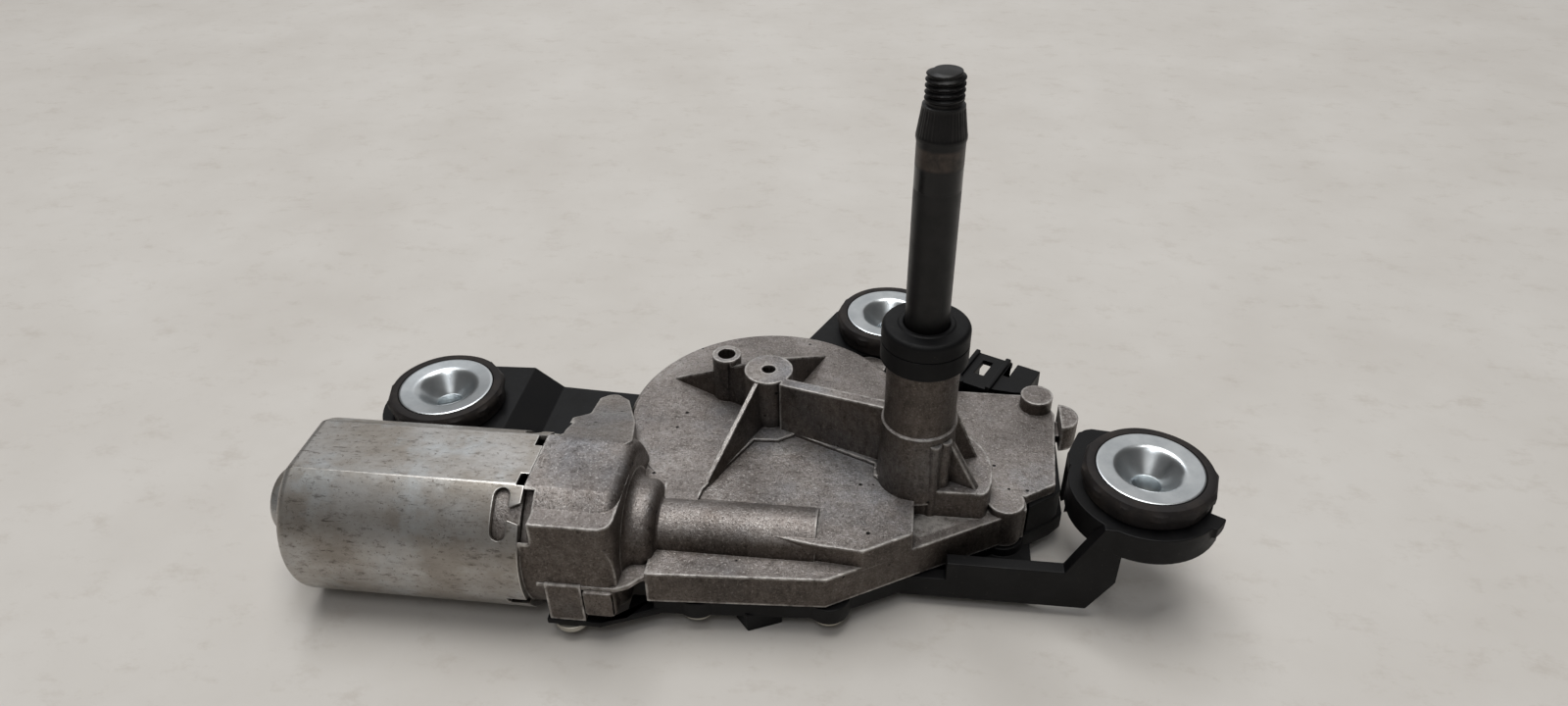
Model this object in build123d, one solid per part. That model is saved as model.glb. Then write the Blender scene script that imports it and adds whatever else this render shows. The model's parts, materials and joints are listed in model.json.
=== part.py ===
from build123d import *
import os
from math import acos, atan2, cos, degrees, hypot, pi, radians, sin, sqrt, tan

# Rear wiper motor: a crimped motor can on a die-cast gear housing, a worm and wheel that drive
# a toothed coupler and an output pinion, and a plastic cover that is also the mounting bracket.
#
# Frame: the origin is on the output spindle's axis, in the plane of the right-hand mounting
# bush's rim.  +Z runs up the spindle, +X from the motor can towards the right-hand lug and +Y
# to the connector side.  Every size is in millimetres.

# ---------------------------------------------------------------- driving dimensions
# Output spindle and its tower
SHAFT_R = 5.0
THREAD_R = 4.0
THREAD_TOP = 92.5
THREAD_LENGTH = 6.5
KNURL_LENGTH = 7.0
KNURL_SMALL_R = 4.3
KNURL_LARGE_R = 5.25
TOWER_R = 8.5
TOWER_FOOT_R = 9.6
TOWER_SEAM_Z = 7.2
TOWER_TOP = 28.5
CAP_R = 10.1
CAP_BOTTOM = 25.0
CAP_TOP = 34.7
CAP_WALL = 1.5
BUSH_WALL = 1.5
BUSH_LENGTH = 13.0
RUNNING_GAP = 0.05
AIR_GAP = 0.4

# Levels of the gear housing's top faces and of the joint with the cover
DOME_TOP = -10.2
PLATEAU_TOP = -11.2
PAD_TOP = -8.5
RIGHT_PLATE_TOP = -14.5
LEDGE_TOP = -16.5
FLANGE_BOTTOM = -25.7
RIGHT_PLATE_THICKNESS = 2.8
HOUSING_WALL = 2.4
GASKET_THICKNESS = 0.6

# Gear train: a single-start worm on the armature shaft drives the wheel
WHEEL_X, WHEEL_Y = -39.0, 19.4
WORM_MODULE = 1.0
WHEEL_TEETH = 68
WORM_PITCH_R = 4.9
MOTOR_Z = -16.5
WHEEL_FACE = 6.6
TOOTH_BACKLASH = 0.22
PRESSURE_ANGLE = 20.0
WORM_LENGTH = 25.0
AXLE_R = 4.0
DOME_WALL = 2.2
DOME_EDGE = 0.9
POST_X, POST_Y = -51.4, 27.0

# Crank, toothed coupler, rocker link and output pinion
CRANK_R = 9.0
CRANK_ANGLE = 345.0
CRANK_PIN_R = 3.5
LINK_MODULE = 1.25
PINION_TEETH = 14
SECTOR_TEETH = 24
ROCKER_ANGLE = 61.0
COUPLER_THICKNESS = 2.6
ROCKER_THICKNESS = 2.0
PIVOT_R = 3.0

# Motor
CAN_R = 21.2
CAN_HALF_HEIGHT = 19.3
CAN_WALL = 1.5
CAN_END_EDGE_R = 2.5
CRIMP_ANGLE = 44.0
CRIMP_WINDOW_WIDTH = 3.6
CRIMP_WINDOW_HEIGHT = 12.0
CRIMP_WINDOW_GAP = 3.0
CRIMP_RECESS_LENGTH = 2.6
CAN_END_X = -148.0
CAN_MOUTH_X = -89.0
SPIGOT_LENGTH = 8.0
MOTOR_CAVITY_R = 16.9
MOTOR_CAVITY_HALF_HEIGHT = 14.8
CAN_NOSE_R = 8.7
CAN_NOSE_X = -158.0
BLOCK_RIGHT_X = -67.0
BLOCK_EDGE_R = 3.5
BLOCK_FRONT_X = -86.0
BLOCK_FRONT = 18.6
BLOCK_LOW_R = 19.4
BLOCK_LOW_HALF_HEIGHT = 16.5
BLOCK_STEP_Z = -18.0
BLOCK_LEDGE_Z = 0.0
BEARING_HOUSING_R = 11.5
BEARING_HOUSING_X = -61.0
BEARING_BLEND_R = 2.8
TUNNEL_R = 7.4
TUNNEL_END_X = -22.5
SHAFT_END_X = -14.0
THRUST_PAD_R = 3.05
THRUST_PAD_END_X = -13.4
MOTOR_SHAFT_R = 4.0
STACK_R = 15.0
STACK_LENGTH = 33.0
STACK_CENTRE_X = -117.0
ARMATURE_SLOTS = 12
COMMUTATOR_R = 7.5
COMMUTATOR_X = -84.0
COMMUTATOR_LENGTH = 9.0
BRUSH_OUTER_R = 14.2
BRUSH_SIZE = 5.2
MAGNET_THICKNESS = 4.0

# Mounting lugs: centre of the bush rim of each
LUGS = {"left": (-127.8, 16.9, -6.0), "right": (54.4, -4.2, 0.0), "rear": (-9.0, 65.2, -6.0)}
BUSH_RIM_R = 12.5
BUSH_HOLE_R = 3.25
BUSH_SHEET = 1.2
DISH_DEPTH = 5.3
GROMMET_R = 15.0
GROMMET_SEAT = 6.0
GROMMET_NECK_R = 11.0
LUG_PLATE = 3.0
LUG_R = 18.0

# Cover and bracket
COVER_INSET = 1.0
COVER_WALL = 2.2
COVER_FLOOR = 2.5
COVER_BOTTOM = -31.2
BEAM_TOP = -20.8
BEAM_BOTTOM = -32.6
BEAM_FRONT_Y = -20.0
BEAM_THICKNESS = 3.4
SCREW_R = 2.2
SCREW_HEAD_R = 4.3
SCREW_HEAD_HEIGHT = 2.6

# Connector socket, turned about the vertical so that its mouth faces the rear right
CONNECTOR_X, CONNECTOR_Y = 22.8, 47.9
CONNECTOR_TURN = -25.0
CONNECTOR_WIDTH = 19.8
CONNECTOR_DEPTH = 16.0
CONNECTOR_BACK = 5.0
CONNECTOR_HEIGHT = 14.0
CONNECTOR_TOP = -14.0
CONNECTOR_WALL = 1.8
TERMINAL_COUNT = 4

# ---------------------------------------------------------------- values that follow
WHEEL_PITCH_R = WORM_MODULE * WHEEL_TEETH / 2
WHEEL_CAVITY_R = WHEEL_PITCH_R + 1.3
DOME_R = WHEEL_CAVITY_R + DOME_WALL
MOTOR_Y = WHEEL_Y - WHEEL_PITCH_R - WORM_PITCH_R
WORM_TIP_R = WORM_PITCH_R + 0.9 * WORM_MODULE
WORM_ROOT_R = WORM_PITCH_R - 1.2 * WORM_MODULE
WORM_BORE_R = WORM_TIP_R + 0.25
PINION_R = LINK_MODULE * PINION_TEETH / 2
SECTOR_R = LINK_MODULE * SECTOR_TEETH / 2
ROCKER_LENGTH = PINION_R + SECTOR_R
SECTOR_X = ROCKER_LENGTH * cos(radians(ROCKER_ANGLE))
SECTOR_Y = ROCKER_LENGTH * sin(radians(ROCKER_ANGLE))
CRANK_X = WHEEL_X + CRANK_R * cos(radians(CRANK_ANGLE))
CRANK_Y = WHEEL_Y + CRANK_R * sin(radians(CRANK_ANGLE))
COUPLER_ANGLE = degrees(atan2(CRANK_Y - SECTOR_Y, CRANK_X - SECTOR_X))
COUPLER_LENGTH = hypot(CRANK_X - SECTOR_X, CRANK_Y - SECTOR_Y)

WHEEL_TOP = MOTOR_Z + WHEEL_FACE / 2
WHEEL_BOTTOM = MOTOR_Z - WHEEL_FACE / 2
CHAMBER_TOP = DOME_TOP - HOUSING_WALL
LINK_CHAMBER_TOP = RIGHT_PLATE_TOP - RIGHT_PLATE_THICKNESS
COVER_RIM = FLANGE_BOTTOM - GASKET_THICKNESS
FLOOR_TOP = COVER_BOTTOM + COVER_FLOOR
ROCKER_BOTTOM = FLOOR_TOP + AIR_GAP
ROCKER_TOP = ROCKER_BOTTOM + ROCKER_THICKNESS
COUPLER_BOTTOM = ROCKER_TOP + AIR_GAP
COUPLER_TOP = COUPLER_BOTTOM + COUPLER_THICKNESS
PINION_TOP = COUPLER_TOP + 0.8
TOWER_BOTTOM = PINION_TOP + 0.6
CRANK_PIN_END = COUPLER_TOP + 0.3
SPINDLE_END = FLOOR_TOP + 0.2
THREAD_BOTTOM = THREAD_TOP - THREAD_LENGTH
KNURL_BOTTOM = THREAD_BOTTOM - KNURL_LENGTH
BUSH_R = SHAFT_R + RUNNING_GAP + BUSH_WALL
BASE_Z = MOTOR_Z - CAN_HALF_HEIGHT

# Plan outline of the housing's joint face, front left corner first; the dome's circle joins it
FLANGE_POINTS = [
    (-61.5, -34.8), (-19.4, -32.2), (2.0, -19.3), (27.8, -4.2), (28.3, 39.8),
    (-8.0, 39.8), (WHEEL_X, WHEEL_Y), (-61.5, -5.0),
]
PLATEAU_POINTS = [
    (-61.0, MOTOR_Y), (-22.3, -26.5), (-11.3, -27.4), (0.0, -20.5), (0.0, 8.0),
    (-10.0, 30.0), (-61.0, 5.0),
]
# Front part of the dome that lies at the plateau's level, between the first gusset, the wall to
# the tower and the tunnel, and the shelf left of it that carries the dome's level to the tunnel
LOW_FRONT_POINTS = [
    (-52.6, MOTOR_Y), (-51.5, -11.5), (-41.7, 8.3), (-35.4, 8.6), (-31.4, 11.6), (-10.1, 2.2),
    (-10.2, -2.1), (0.0, -9.3), (0.0, -20.5), (-11.3, -27.4), (-22.3, -26.5),
]
SHELF_POINTS = [(-61.0, MOTOR_Y), (-52.6, MOTOR_Y), (-51.5, -11.5), (-51.5, -2.0), (-61.0, -2.0)]
RIGHT_PLATE_POINTS = [
    (2.0, -4.0), (27.8, -1.3), (35.2, 3.8), (37.4, 32.0), (34.0, 39.8), (-8.0, 39.8), (-8.0, 5.0),
]
LINK_CHAMBER_POINTS = [
    (-30.0, -12.0), (-14.0, -12.5), (-9.0, -13.5), (2.0, -16.2), (25.2, -2.6), (25.8, 37.2),
    (-10.0, 37.2), (-30.0, 30.0),
]
# Screws that hold the cover: x, y, level of the face under the head, level of the screw's tip
BLOCK_SCREW = (-79.8, -36.4, -30.8, -24.6)
EAR_SCREW = (-82.6, 21.8, -21.0, -14.6)
TRAY_SCREWS = [
    (-50.5, -29.2, COVER_BOTTOM, -19.6), (-19.0, -27.6, COVER_BOTTOM, -19.6),
    (22.6, -3.4, COVER_BOTTOM, -19.0), (32.5, 35.2, COVER_BOTTOM, -13.0),
    (-13.6, 46.8, COVER_BOTTOM, -18.0),
]
SCREWS = [BLOCK_SCREW, EAR_SCREW] + TRAY_SCREWS


# ---------------------------------------------------------------- helpers
def disc(radius, low, high, x=0.0, y=0.0):
    """Upright cylinder between two levels."""
    return Pos(x, y, (low + high) / 2) * Cylinder(radius, high - low)


def ring(outer, inner, low, high, x=0.0, y=0.0):
    """Upright tube between two levels."""
    return disc(outer, low, high, x, y) - disc(inner, low - 1, high + 1, x, y)


def polygon(points):
    """Closed face through the points of a plan outline."""
    return make_face(Polyline(points, close=True))


def prism(sketch, low, high):
    """A plan outline raised between two levels."""
    return extrude(Pos(0, 0, low) * sketch, high - low)


def block(x0, x1, y0, y1, z0, z1):
    """Box between two corners."""
    return Pos((x0 + x1) / 2, (y0 + y1) / 2, (z0 + z1) / 2) * Box(x1 - x0, y1 - y0, z1 - z0)


def turned(profile):
    """Solid of revolution about Z from a list of (radius, level)."""
    return revolve(Plane.XZ * make_face(Polyline(profile, close=True)), Axis.Z)


def on_motor_axis(shape):
    """Lays a shape that was made along Z along the motor's axis: its Z becomes X."""
    return Pos(0, MOTOR_Y, MOTOR_Z) * Rot(0, 90, 0) * shape


def barrel(radius, half_height, x0, x1):
    """Length of the motor's section: a circle with a flat at the top and the bottom."""
    section = Circle(radius) & Rectangle(2 * radius, 2 * half_height)
    across = Plane(origin=(x0, MOTOR_Y, MOTOR_Z), x_dir=(0, 1, 0), z_dir=(1, 0, 0))
    return extrude(across * section, x1 - x0)


def web(start, end, outline, thickness):
    """Upright plate over the plan line start-end; outline is (distance along it, level)."""
    run = (end[0] - start[0], end[1] - start[1])
    upright = Plane(origin=(start[0], start[1], 0), x_dir=(run[0], run[1], 0),
                    z_dir=(run[1], -run[0], 0))
    return extrude(upright * polygon(outline), thickness / 2, both=True)


def gusset(start, end, top, low, thickness, foot=3.0):
    """Triangular web that falls from top at start to low at end, its foot sunk in the casting."""
    length = hypot(end[0] - start[0], end[1] - start[1])
    return web(start, end, [(0, low - foot), (0, top), (length, low), (length, low - foot)],
               thickness)


def involute(angle):
    """Involute function of a pressure angle in radians."""
    return tan(angle) - angle


def gear_points(teeth, module, tip, root, backlash, first=0, count=None, samples=2):
    """Outline points of count teeth, anticlockwise; tooth 0 is centred on +X."""
    pitch_r = module * teeth / 2
    pressure = radians(PRESSURE_ANGLE)
    base_r = pitch_r * cos(pressure)
    half_pitch = (pi * module / 2 - backlash) / (2 * pitch_r)
    points = []
    for tooth in range(first, first + (teeth if count is None else count)):
        centre = 2 * pi * tooth / teeth
        flank = []
        for step in range(samples + 1):
            radius = root + (tip - root) * step / samples
            local = acos(min(1.0, base_r / radius))
            flank.append((radius, half_pitch + involute(pressure) - involute(local)))
        for radius, half in flank:
            points.append((radius * cos(centre - half), radius * sin(centre - half)))
        for radius, half in reversed(flank):
            points.append((radius * cos(centre + half), radius * sin(centre + half)))
    return points


# ---------------------------------------------------------------- gear housing
def tower():
    """Tapered tower round the spindle, with the two cast flutes at its front."""
    body = turned([
        (0, TOWER_BOTTOM), (TOWER_R, TOWER_BOTTOM), (TOWER_R, CHAMBER_TOP),
        (TOWER_FOOT_R, CHAMBER_TOP),
        (TOWER_R + 0.3, TOWER_SEAM_Z - 0.4), (TOWER_R + 0.6, TOWER_SEAM_Z),
        (TOWER_R, TOWER_SEAM_Z + 0.4), (TOWER_R, TOWER_TOP), (0, TOWER_TOP),
    ])
    for angle in (-62, -41):
        x, y = TOWER_R * cos(radians(angle)), TOWER_R * sin(radians(angle))
        body += disc(1.5, LINK_CHAMBER_TOP, TOWER_SEAM_Z - 2, x, y)
    pad = Circle(18.9) & Pos(9.5, 5.2) * Rectangle(19, 27.4)
    pad = fillet(pad.vertices(), 2.5)
    body += prism(pad, LINK_CHAMBER_TOP, PAD_TOP)
    for angle, top in ((22, 13.5), (-23, TOWER_SEAM_Z - 1)):
        direction = (cos(radians(angle)), sin(radians(angle)))
        start = (TOWER_R * 0.8 * direction[0], TOWER_R * 0.8 * direction[1])
        end = (16.2 * direction[0], 16.2 * direction[1])
        body += gusset(start, end, top, PAD_TOP, 1.8)
    return body


def wheel_boss():
    """Boss over the wheel's axle, its three long gussets and the wall to the tower."""
    boss_top = 4.4
    body = disc(6.3, CHAMBER_TOP, boss_top, WHEEL_X, WHEEL_Y)
    for far in ((-67.4, 32.5), (-51.2, -9.0), (-26.8, 47.2)):
        reach = hypot(far[0] - WHEEL_X, far[1] - WHEEL_Y)
        near = (WHEEL_X + 5.5 / reach * (far[0] - WHEEL_X), WHEEL_Y + 5.5 / reach * (far[1] - WHEEL_Y))
        body += gusset(near, far, boss_top, DOME_TOP, 2.4, foot=DOME_TOP - CHAMBER_TOP)
    body += web((WHEEL_X + 4, WHEEL_Y - 5.0), (-4.0, 3.2),
                [(0, CHAMBER_TOP), (0, boss_top), (34, TOWER_SEAM_Z), (34, CHAMBER_TOP)], 3.0)
    body += disc(3.85, CHAMBER_TOP, 3.0, POST_X, POST_Y)
    return body


def rounded_end(shape, radius):
    """Rounds the edges round the right-hand end of a length along X."""
    return fillet(shape.edges().group_by(Axis.X)[-1], radius)


def crimp_recess(side):
    """Recess in the block's rim beside one window of the can, where the tabs are bent in."""
    room = block(CAN_MOUTH_X - 0.1, CAN_MOUTH_X + CRIMP_RECESS_LENGTH, -CRIMP_WINDOW_HEIGHT / 2,
                 CRIMP_WINDOW_HEIGHT / 2, MOTOR_CAVITY_R + 1.0, CAN_R + 3)
    return Pos(0, MOTOR_Y, MOTOR_Z) * Rot(side * CRIMP_ANGLE, 0, 0) * room


def motor_block():
    """Cast end that closes the motor can, with its lugs, its ear and the bearing seat."""
    front_y = MOTOR_Y - BLOCK_FRONT
    rear_y = MOTOR_Y + CAN_R + 1
    low_z = MOTOR_Z - BLOCK_LOW_HALF_HEIGHT
    upper = barrel(CAN_R, CAN_HALF_HEIGHT, CAN_MOUTH_X, BLOCK_RIGHT_X)
    upper = rounded_end(upper, BLOCK_EDGE_R)
    upper &= block(CAN_MOUTH_X, BLOCK_RIGHT_X, front_y, rear_y, BLOCK_STEP_Z, 20)
    box = block(BLOCK_FRONT_X, BLOCK_RIGHT_X, front_y, MOTOR_Y, BLOCK_STEP_Z, BLOCK_LEDGE_Z)
    box = fillet(box.edges().filter_by(Axis.Z).sort_by(lambda edge: edge.center().X - edge.center().Y)[-1],
                 BLOCK_EDGE_R)
    lower = barrel(BLOCK_LOW_R, BLOCK_LOW_HALF_HEIGHT, CAN_MOUTH_X, BLOCK_RIGHT_X)
    lower = rounded_end(lower, BLOCK_EDGE_R - 0.5)
    rear = rounded_end(barrel(CAN_R, BLOCK_LOW_HALF_HEIGHT, CAN_MOUTH_X, BLOCK_RIGHT_X), BLOCK_EDGE_R)
    rear &= block(CAN_MOUTH_X, BLOCK_RIGHT_X, MOTOR_Y, rear_y, low_z, BLOCK_STEP_Z)
    body = upper + box + lower + rear
    body += block(-84.0, -75.4, -39.6, -32.0, -29.0, -17.3)
    body += block(-75.4, -68.5, -37.0, -32.0, -26.5, -18.0)
    body += barrel(CAN_R - CAN_WALL, CAN_HALF_HEIGHT - CAN_WALL, CAN_MOUTH_X - SPIGOT_LENGTH,
                   CAN_MOUTH_X)
    ear = polygon([(-85.4, -12.0), (-87.8, 3.8), (-84.5, 8.0), (-86.2, 21.5), (-83.6, 27.0),
                   (-78.0, 21.0), (-71.4, 3.5), (-67.8, -12.0)])
    ear = prism(fillet(ear.vertices(), 2.0), -18.0, 3.0)
    slope = web((BLOCK_RIGHT_X, -12.0), (BLOCK_RIGHT_X, 28.0),
                [(0, -18), (0, 3.0), (1, 3.0), (40, -13.0), (40, -18)], 60.0)
    body += ear & slope
    for side in (-1, 1):
        body -= crimp_recess(side)
    seat = polygon([(0, BLOCK_RIGHT_X - 1), (BEARING_HOUSING_R + BEARING_BLEND_R, BLOCK_RIGHT_X - 1),
                    (BEARING_HOUSING_R + BEARING_BLEND_R, BLOCK_RIGHT_X),
                    (BEARING_HOUSING_R, BLOCK_RIGHT_X), (BEARING_HOUSING_R, BEARING_HOUSING_X),
                    (0, BEARING_HOUSING_X)])
    corners = [corner for corner in seat.vertices()
               if abs(corner.X - BEARING_HOUSING_R) < 0.01]
    seat = fillet(corners, BEARING_BLEND_R - 0.1)
    body += on_motor_axis(revolve(Plane.XZ * seat, Axis.Z))
    return body


def gear_housing():
    """Die casting that carries the whole unit."""
    dome = Pos(WHEEL_X, WHEEL_Y) * Circle(DOME_R)
    body = prism(polygon(FLANGE_POINTS) + dome, FLANGE_BOTTOM, LEDGE_TOP)
    drum = prism(dome, LEDGE_TOP - 1, DOME_TOP)
    drum = chamfer(drum.edges().group_by(Axis.Z)[-1], DOME_EDGE)
    body += drum - prism(polygon(LOW_FRONT_POINTS), PLATEAU_TOP, DOME_TOP + 1)
    body += prism(polygon(SHELF_POINTS), LEDGE_TOP - 1, DOME_TOP)
    plateau = polygon(PLATEAU_POINTS)
    body += prism(plateau, LEDGE_TOP - 1, PLATEAU_TOP)
    right_plate = polygon(RIGHT_PLATE_POINTS)
    body += prism(right_plate, LINK_CHAMBER_TOP, RIGHT_PLATE_TOP)
    body += disc(4.6, FLANGE_BOTTOM, RIGHT_PLATE_TOP, 22.6, -3.4)
    body += disc(4.3, LINK_CHAMBER_TOP, RIGHT_PLATE_TOP + 3.9, 32.5, 35.2)
    body += disc(4.5, FLANGE_BOTTOM, -12.6, -13.6, 46.8)
    stop = Pos(37.6, 26.5) * Circle(5.0) - Pos(32.9, 26.5) * Rectangle(10, 12)
    body += prism(stop, RIGHT_PLATE_TOP - 3.9, RIGHT_PLATE_TOP + 3.9)
    body += block(36.0, 38.5, 23.5, 29.5, RIGHT_PLATE_TOP - RIGHT_PLATE_THICKNESS,
                  RIGHT_PLATE_TOP - 0.4)
    tunnel = on_motor_axis(disc(TUNNEL_R, BEARING_HOUSING_X - 1, TUNNEL_END_X))
    body += tunnel
    body += motor_block()
    body += wheel_boss()

    body -= disc(WHEEL_CAVITY_R, FLANGE_BOTTOM - 1, CHAMBER_TOP, WHEEL_X, WHEEL_Y)
    body -= prism(polygon(LINK_CHAMBER_POINTS), FLANGE_BOTTOM - 1, LINK_CHAMBER_TOP)
    body += tower()
    body -= disc(SHAFT_R + 0.6, TOWER_BOTTOM - 1, TOWER_TOP + 1)
    body -= disc(BUSH_R, TOWER_BOTTOM - 1, TOWER_BOTTOM + BUSH_LENGTH)
    body -= disc(BUSH_R, TOWER_TOP - BUSH_LENGTH, TOWER_TOP + 1)
    body -= disc(AXLE_R, CHAMBER_TOP - 1, 1.0, WHEEL_X, WHEEL_Y)
    body -= disc(1.8, 0, 6.0, WHEEL_X, WHEEL_Y)
    body -= disc(2.35, DOME_TOP, 6.0, POST_X, POST_Y)
    body -= on_motor_axis(disc(WORM_BORE_R, BEARING_HOUSING_X - 2, TUNNEL_END_X))
    body -= on_motor_axis(disc(THRUST_PAD_R, TUNNEL_END_X - 1, THRUST_PAD_END_X))
    body -= on_motor_axis(disc(9.5, BLOCK_RIGHT_X - 4, BEARING_HOUSING_X - 1.5))
    body -= disc(SCREW_HEAD_R + 0.4, -60, BLOCK_SCREW[2], BLOCK_SCREW[0], BLOCK_SCREW[1])
    body -= barrel(MOTOR_CAVITY_R, MOTOR_CAVITY_HALF_HEIGHT, CAN_MOUTH_X - SPIGOT_LENGTH - 1,
                   BLOCK_RIGHT_X - 2.5)
    for x, y, face, tip in SCREWS:
        body -= disc(SCREW_R, face, tip + 0.5, x, y)
    return body


# ---------------------------------------------------------------- spindle group
def spindle():
    """Output shaft: pinion seat, plain shaft, tapered arm seat and thread."""
    return turned([
        (0, SPINDLE_END), (AXLE_R - 0.4, SPINDLE_END), (AXLE_R, SPINDLE_END + 0.4),
        (AXLE_R, COUPLER_BOTTOM - 0.2), (SHAFT_R, COUPLER_BOTTOM - 0.2),
        (SHAFT_R, CAP_TOP - 4.2), (SHAFT_R - 0.5, CAP_TOP - 4.2), (SHAFT_R - 0.5, CAP_TOP - 3.0),
        (SHAFT_R, CAP_TOP - 3.0), (SHAFT_R, KNURL_BOTTOM - 1.0), (KNURL_LARGE_R, KNURL_BOTTOM),
        (KNURL_SMALL_R, THREAD_BOTTOM), (THREAD_R, THREAD_BOTTOM), (THREAD_R, THREAD_TOP - 0.8),
        (THREAD_R - 0.8, THREAD_TOP), (0, THREAD_TOP),
    ])


def output_pinion():
    """Pinion pressed on the spindle's lower end."""
    outline = gear_points(PINION_TEETH, LINK_MODULE, PINION_R + 0.9 * LINK_MODULE,
                          PINION_R - 1.15 * LINK_MODULE, TOOTH_BACKLASH)
    # The sector's tooth gap faces the pinion along the rocker's line, so a tooth points there.
    turn = ROCKER_ANGLE
    body = prism(Rot(0, 0, turn) * polygon(outline), COUPLER_BOTTOM - 0.1, PINION_TOP)
    return body - disc(SHAFT_R, COUPLER_BOTTOM - 1, PINION_TOP + 1)


def spindle_cap():
    """Plastic cap over the tower's mouth."""
    return turned([
        (TOWER_R, CAP_BOTTOM), (CAP_R - 0.3, CAP_BOTTOM), (CAP_R, CAP_BOTTOM + 0.5),
        (CAP_R, CAP_BOTTOM + 4.9), (CAP_R - 0.25, CAP_BOTTOM + 5.1), (CAP_R, CAP_BOTTOM + 5.3),
        (CAP_R, CAP_TOP - 1.2), (CAP_R - 1.2, CAP_TOP), (SHAFT_R + 0.2, CAP_TOP),
        (SHAFT_R + 0.2, CAP_TOP - CAP_WALL), (TOWER_R, CAP_TOP - CAP_WALL),
    ])


def shaft_seal():
    """Rubber seal between the tower's mouth and the spindle's clip."""
    low, high = TOWER_TOP, CAP_TOP - 4.9
    return turned([(SHAFT_R + 0.15, low), (TOWER_R - 0.4, low), (TOWER_R - 0.4, high - 0.3),
                   (SHAFT_R + 1.6, high), (SHAFT_R + 0.15, high)])


def spindle_clip():
    """Retaining ring in the spindle's groove."""
    low = CAP_TOP - 4.1
    body = ring(SHAFT_R + 1.9, SHAFT_R - 0.45, low, low + 1.0)
    return body - block(SHAFT_R - 1.5, SHAFT_R + 3, -1.6, 1.6, low - 1, low + 2)


# ---------------------------------------------------------------- linkage
def rocker_link():
    """Plate that holds the coupler's pivot at the mesh distance from the spindle."""
    outline = Circle(6.6) + Pos(SECTOR_X, SECTOR_Y) * Circle(5.6)
    outline += Rot(0, 0, ROCKER_ANGLE) * Pos(ROCKER_LENGTH / 2, 0) * Rectangle(ROCKER_LENGTH, 9.0)
    body = prism(outline, ROCKER_BOTTOM, ROCKER_TOP)
    body -= disc(AXLE_R + RUNNING_GAP, ROCKER_BOTTOM - 1, ROCKER_TOP + 1)
    return body - disc(PIVOT_R, ROCKER_BOTTOM - 1, ROCKER_TOP + 1, SECTOR_X, SECTOR_Y)


def coupler_pivot():
    """Shouldered pin riveted in the rocker link, on which the coupler turns."""
    pin = turned([
        (0, ROCKER_BOTTOM), (PIVOT_R, ROCKER_BOTTOM), (PIVOT_R, COUPLER_TOP + 0.2),
        (PIVOT_R + 1.5, COUPLER_TOP + 0.2), (PIVOT_R + 1.5, COUPLER_TOP + 0.9),
        (PIVOT_R + 0.9, COUPLER_TOP + 1.3), (0, COUPLER_TOP + 1.3),
    ])
    return Pos(SECTOR_X, SECTOR_Y, 0) * pin


def toothed_coupler():
    """Connecting rod from the crank pin to the toothed sector that drives the pinion."""
    tip = SECTOR_R + 0.9 * LINK_MODULE
    root = SECTOR_R - 1.15 * LINK_MODULE
    pitch_angle = 360 / SECTOR_TEETH
    teeth = gear_points(SECTOR_TEETH, LINK_MODULE, tip, root, TOOTH_BACKLASH, first=-1, count=6)
    # A gap is centred on the line to the spindle, half a pitch from tooth 0.
    turn = ROCKER_ANGLE + 180 + pitch_angle / 2
    sector = Rot(0, 0, turn) * polygon([(0, 0)] + teeth)
    arm = Rot(0, 0, COUPLER_ANGLE) * (Pos(COUPLER_LENGTH / 2, 0) * Rectangle(COUPLER_LENGTH, 8.5)
                                      + Pos(COUPLER_LENGTH, 0) * Circle(6.4))
    outline = Pos(SECTOR_X, SECTOR_Y) * (sector + Circle(6.2) + arm)
    body = prism(outline, COUPLER_BOTTOM, COUPLER_TOP)
    body -= disc(PIVOT_R + RUNNING_GAP, COUPLER_BOTTOM - 1, COUPLER_TOP + 1, SECTOR_X, SECTOR_Y)
    return body - disc(CRANK_PIN_R + 0.15, COUPLER_BOTTOM - 1, COUPLER_TOP + 1, CRANK_X, CRANK_Y)


# ---------------------------------------------------------------- worm wheel
def worm_wheel():
    """Plastic wheel with helical teeth that match the worm's lead."""
    tip = WHEEL_PITCH_R + 0.9 * WORM_MODULE
    root = WHEEL_PITCH_R - 1.2 * WORM_MODULE
    outline = gear_points(WHEEL_TEETH, WORM_MODULE, tip, root, TOOTH_BACKLASH, samples=1)
    # A tooth gap faces the worm on the wheel's middle plane.
    middle = -90 + 180 / WHEEL_TEETH
    lead = WORM_MODULE / (2 * WORM_PITCH_R)
    twist = degrees(WHEEL_FACE * lead / WHEEL_PITCH_R)
    wires = []
    for level, angle in ((WHEEL_BOTTOM, middle - twist / 2), (WHEEL_TOP, middle + twist / 2)):
        wires.append(Pos(0, 0, level) * Rot(0, 0, angle) * polygon(outline).face().outer_wire())
    body = Part() + Solid.make_loft(wires, ruled=True)
    body -= ring(WHEEL_PITCH_R - 4.2, 10.5, MOTOR_Z + 1.6, WHEEL_TOP + 1)
    body -= ring(WHEEL_PITCH_R - 4.2, 14.5, WHEEL_BOTTOM - 1, MOTOR_Z - 1.6)
    body += disc(7.2, WHEEL_BOTTOM - 0.6, CHAMBER_TOP - 0.1)
    body -= disc(AXLE_R + RUNNING_GAP, WHEEL_BOTTOM - 2, WHEEL_TOP + 2)
    crank = (CRANK_R * cos(radians(CRANK_ANGLE)), CRANK_R * sin(radians(CRANK_ANGLE)))
    body -= disc(CRANK_PIN_R, WHEEL_BOTTOM - 2, MOTOR_Z + 1.6, *crank)
    return Pos(WHEEL_X, WHEEL_Y, 0) * body


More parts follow.
